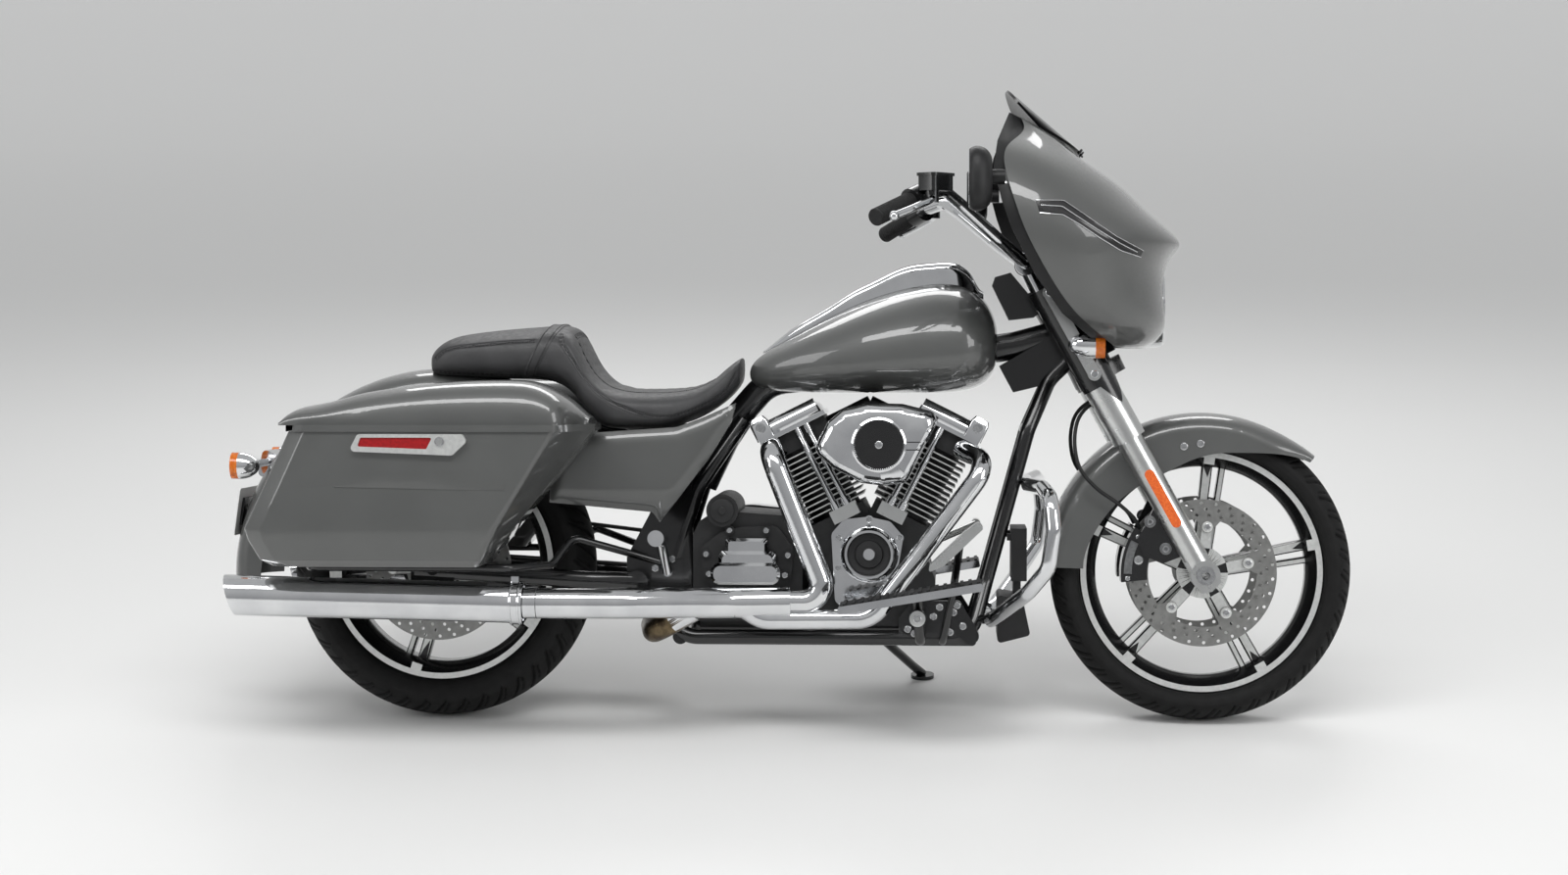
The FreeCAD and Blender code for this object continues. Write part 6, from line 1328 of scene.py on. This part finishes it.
# Dials: four round gauges on the inner fairing, with plain tick marks
dials = {"places": [(-150, 1098, 27.0), (-56, 1108, 41.0), (56, 1108, 41.0), (150, 1098, 27.0)], "ticks": 25,
         "start": 225, "sweep": 270}
dialRings, dialFaces, ticks = [], [], []
for y, z, radius in dials["places"]:
    # each dial lies in the plane of the skin round its rim, with its face clear of the highest point
    spots = [(y + radius * math.cos(t), z + radius * math.sin(t)) for t in np.linspace(0, 2 * math.pi, 24)] + [(y, z)]
    rim = np.array([struck(surfaceOf("inner_fairing"), (700, *spot), (1, 0, 0))[0] for spot in spots])
    place = rim.mean(axis=0)
    normal = np.linalg.svd(rim - place)[2][2]
    normal = normal * -np.sign(normal[0])
    heights = (rim - place) @ normal
    middle = place + normal * (heights.max() + 1.6)
    deep = heights.min() - heights.max() - 3.0
    ring = [(deep, radius - 3), (1.0, radius - 3), (3.0, radius - 1.5), (3.4, radius), (1.5, radius + 2.4),
            (deep, radius + 3), (deep, radius - 3)]
    dialRings.append(lathe(ring, middle, normal))
    dialFaces.append(lathe([(deep, 0.0), (deep, radius - 2.6), (-0.6, radius - 2.6), (-0.6, 0.0)], middle, normal))
    side = unit(np.cross(normal, [0, 0, 1]))
    rise = np.cross(side, normal)
    for k in range(dials["ticks"]):
        u, v = around(dials["start"] - dials["sweep"] * k / (dials["ticks"] - 1))
        out = side * -u + rise * v
        long = 3.0 if k % 4 else 5.0
        ticks.append((middle + out * (radius - 6 - long / 2) - normal * 0.3, normal, (long, 0.9, 0.5), out))
    u, v = around(dials["start"])
    needle = side * -u + rise * v
    ticks.append((middle + needle * radius * 0.28, normal, (radius * 0.8, 1.6, 0.8), needle))
newPiece("dialRings", dialRings, chrome, "inner_fairing")
newPiece("dialFaces", dialFaces, dialFace, "inner_fairing")
repeats("dialTicks", ribBar, ticks, plateStock, "inner_fairing")
print("dials set")


# Tail: a blank number plate below the lamp
plate = {"width": 178.0, "height": 102.0, "low": (-447.0, 392.0), "tilt": 8.0, "depth": 1.6, "corner": 8.0,
         "bracket": (60, 30), "screwY": 62, "screwUp": 36}
u, v = around(plate["tilt"])
up = np.array([v, 0, u])
middle = np.array([plate["low"][0], 0, plate["low"][1]]) + up * plate["height"] / 2
flat = [(sx * (plate["width"] / 2 - plate["corner"]) + plate["corner"] * u,
         sy * (plate["height"] / 2 - plate["corner"]) + plate["corner"] * v)
        for sx, sy, first in ((1, 1, 0), (-1, 1, 90), (-1, -1, 180), (1, -1, 270))
        for u, v in (around(first + t) for t in (0, 30, 60, 90))]
newPiece("numberPlate", [slab(flat, middle, (0, -1, 0), up, plate["depth"], 0.5)], plateStock, "rear_fender", 30)
w, h = plate["bracket"]
newPiece("plateBracket", [slab([(-w, -h), (w, -h), (w, h), (-w, h)], middle + np.array([2.4, 0, 0]), (0, -1, 0), up,
                               5.0, 0.8)], powder, "rear_fender", 30)
repeats("plateScrews", buttonHead, [(middle + np.array([0, y, 0]) + up * plate["screwUp"], np.cross((0, -1, 0), up),
                                     (5.5, 5.5, 2.5)) for y in (-plate["screwY"], plate["screwY"])],
        screwSteel, "rear_fender")
print("plate fitted")


# studio: pale floor and backdrop in one sweep, four soft lamps (place, aim, width, depth, power), a grey world
studio = {"floorColour": "#e4e4e3", "worldTop": "#e9eaeb", "worldLow": "#bebfc1", "worldStrength": 0.62,
          "farGlow": 0.24, "half": 60.0, "wallFoot": 12.0, "sweep": 6.0, "wallTop": 30.0,
          "lamps": [((-0.3, -2.6, 4.4), (0.1, 0.2, 0.5), 5.0, 1.2, 150.0),
                    ((4.4, -3.0, 2.4), (0.5, 0, 0.6), 2.0, 2.4, 70.0),
                    ((-4.4, -2.4, 2.4), (-0.3, 0, 0.6), 2.0, 2.4, 50.0),
                    ((0.0, 3.4, 3.4), (0.0, 0, 0.6), 4.0, 1.2, 70.0)]}
foot, bend, half = studio["wallFoot"], studio["sweep"], studio["half"]
curve = [(foot + bend * math.sin(t), bend - bend * math.cos(t)) for t in np.linspace(0, math.pi / 2, 17)]
sweep = [(-half, 0.0)] + curve + [(foot + bend, studio["wallTop"])]
floorMesh = bpy.data.meshes.new("floor")
floorMesh.from_pydata([(x, y, z) for y, z in sweep for x in (-half, half)], [],
                      [(2 * i, 2 * i + 1, 2 * i + 3, 2 * i + 2) for i in range(len(sweep) - 1)])
floorMesh.polygons.foreach_set("use_smooth", [True] * len(floorMesh.polygons))
floorFinish = finish("pale studio floor", roughness=0.5)
floorMesh.materials.append(floorFinish)
tree = floorFinish.node_tree
shader = tree.nodes["Principled BSDF"]
shader.inputs["Base Color"].default_value = linear(studio["floorColour"])
# the far end of the sweep is paler to the camera, metal and glass, without more light on the bike
where = addNode(tree, "ShaderNodeTexCoord")
split = addNode(tree, "ShaderNodeSeparateXYZ", {}, {0: where.outputs["Object"]})
far = addNode(tree, "ShaderNodeMapRange", {"From Min": 2.0, "From Max": 20.0, "To Min": 0.0,
                                           "To Max": studio["farGlow"]}, {"Value": split.outputs["Y"]})
rays = addNode(tree, "ShaderNodeLightPath").outputs
seen = addNode(tree, "ShaderNodeMath", {"operation": "ADD"}, {0: rays["Is Camera Ray"], 1: rays["Is Glossy Ray"]})
seen = addNode(tree, "ShaderNodeMath", {"operation": "ADD", "use_clamp": True},
               {0: seen.outputs[0], 1: rays["Is Transmission Ray"]})
glow = addNode(tree, "ShaderNodeMath", {"operation": "MULTIPLY"}, {0: seen.outputs[0], 1: far.outputs["Result"]})
shader.inputs["Emission Color"].default_value = linear("#ffffff")
tree.links.new(glow.outputs[0], shader.inputs["Emission Strength"])
shown("floor", floorMesh)

for spot, aim, width, depth, power in studio["lamps"]:
    lamp = bpy.data.lights.new("softbox", "AREA")
    lamp.shape, lamp.size, lamp.size_y, lamp.energy = "RECTANGLE", width, depth, power
    holder = shown("softbox", lamp)
    holder.location = spot
    holder.rotation_euler = (Vector(aim) - Vector(spot)).to_track_quat("-Z", "Y").to_euler()

world = bpy.data.worlds.new("studio air")
world.use_nodes = True
tree = world.node_tree
where = addNode(tree, "ShaderNodeTexCoord")
split = addNode(tree, "ShaderNodeSeparateXYZ", {}, {0: where.outputs["Generated"]})
height = addNode(tree, "ShaderNodeMapRange", {"From Min": -0.1, "From Max": 0.55}, {"Value": split.outputs["Z"]})
ramp = addNode(tree, "ShaderNodeValToRGB", {}, {"Fac": height.outputs["Result"]})
ramp.color_ramp.elements[0].color = linear(studio["worldLow"])
ramp.color_ramp.elements[1].color = linear(studio["worldTop"])
tree.links.new(ramp.outputs["Color"], tree.nodes["Background"].inputs["Color"])
tree.nodes["Background"].inputs["Strength"].default_value = studio["worldStrength"]
bpy.context.scene.world = world
bpy.context.scene.view_settings.view_transform = "Standard"

# camera: the photograph's viewpoint, found on the upright bike and leaned with it
lens = {"place": (1089.4, -6238.5, 783.9), "pan": -0.05692, "tilt": -0.02909, "focal": 2958.3, "frameWidth": 1600}
forward = Vector((math.sin(lens["pan"]) * math.cos(lens["tilt"]), math.cos(lens["pan"]) * math.cos(lens["tilt"]),
                  math.sin(lens["tilt"])))
right = forward.cross(Vector((0, 0, 1))).normalized()
turn = onStand.to_3x3().normalized() @ Matrix((right, right.cross(forward), -forward)).transposed()
camera = bpy.data.cameras.new("camera")
camera.sensor_width = 36.0
camera.lens = camera.sensor_width * lens["focal"] / lens["frameWidth"]
camera.clip_end = 60.0
viewer = shown("camera", camera)
viewer.matrix_world = Matrix.Translation(onStand @ Vector(lens["place"])) @ turn.to_4x4()
bpy.context.scene.camera = viewer
print("studio ready")
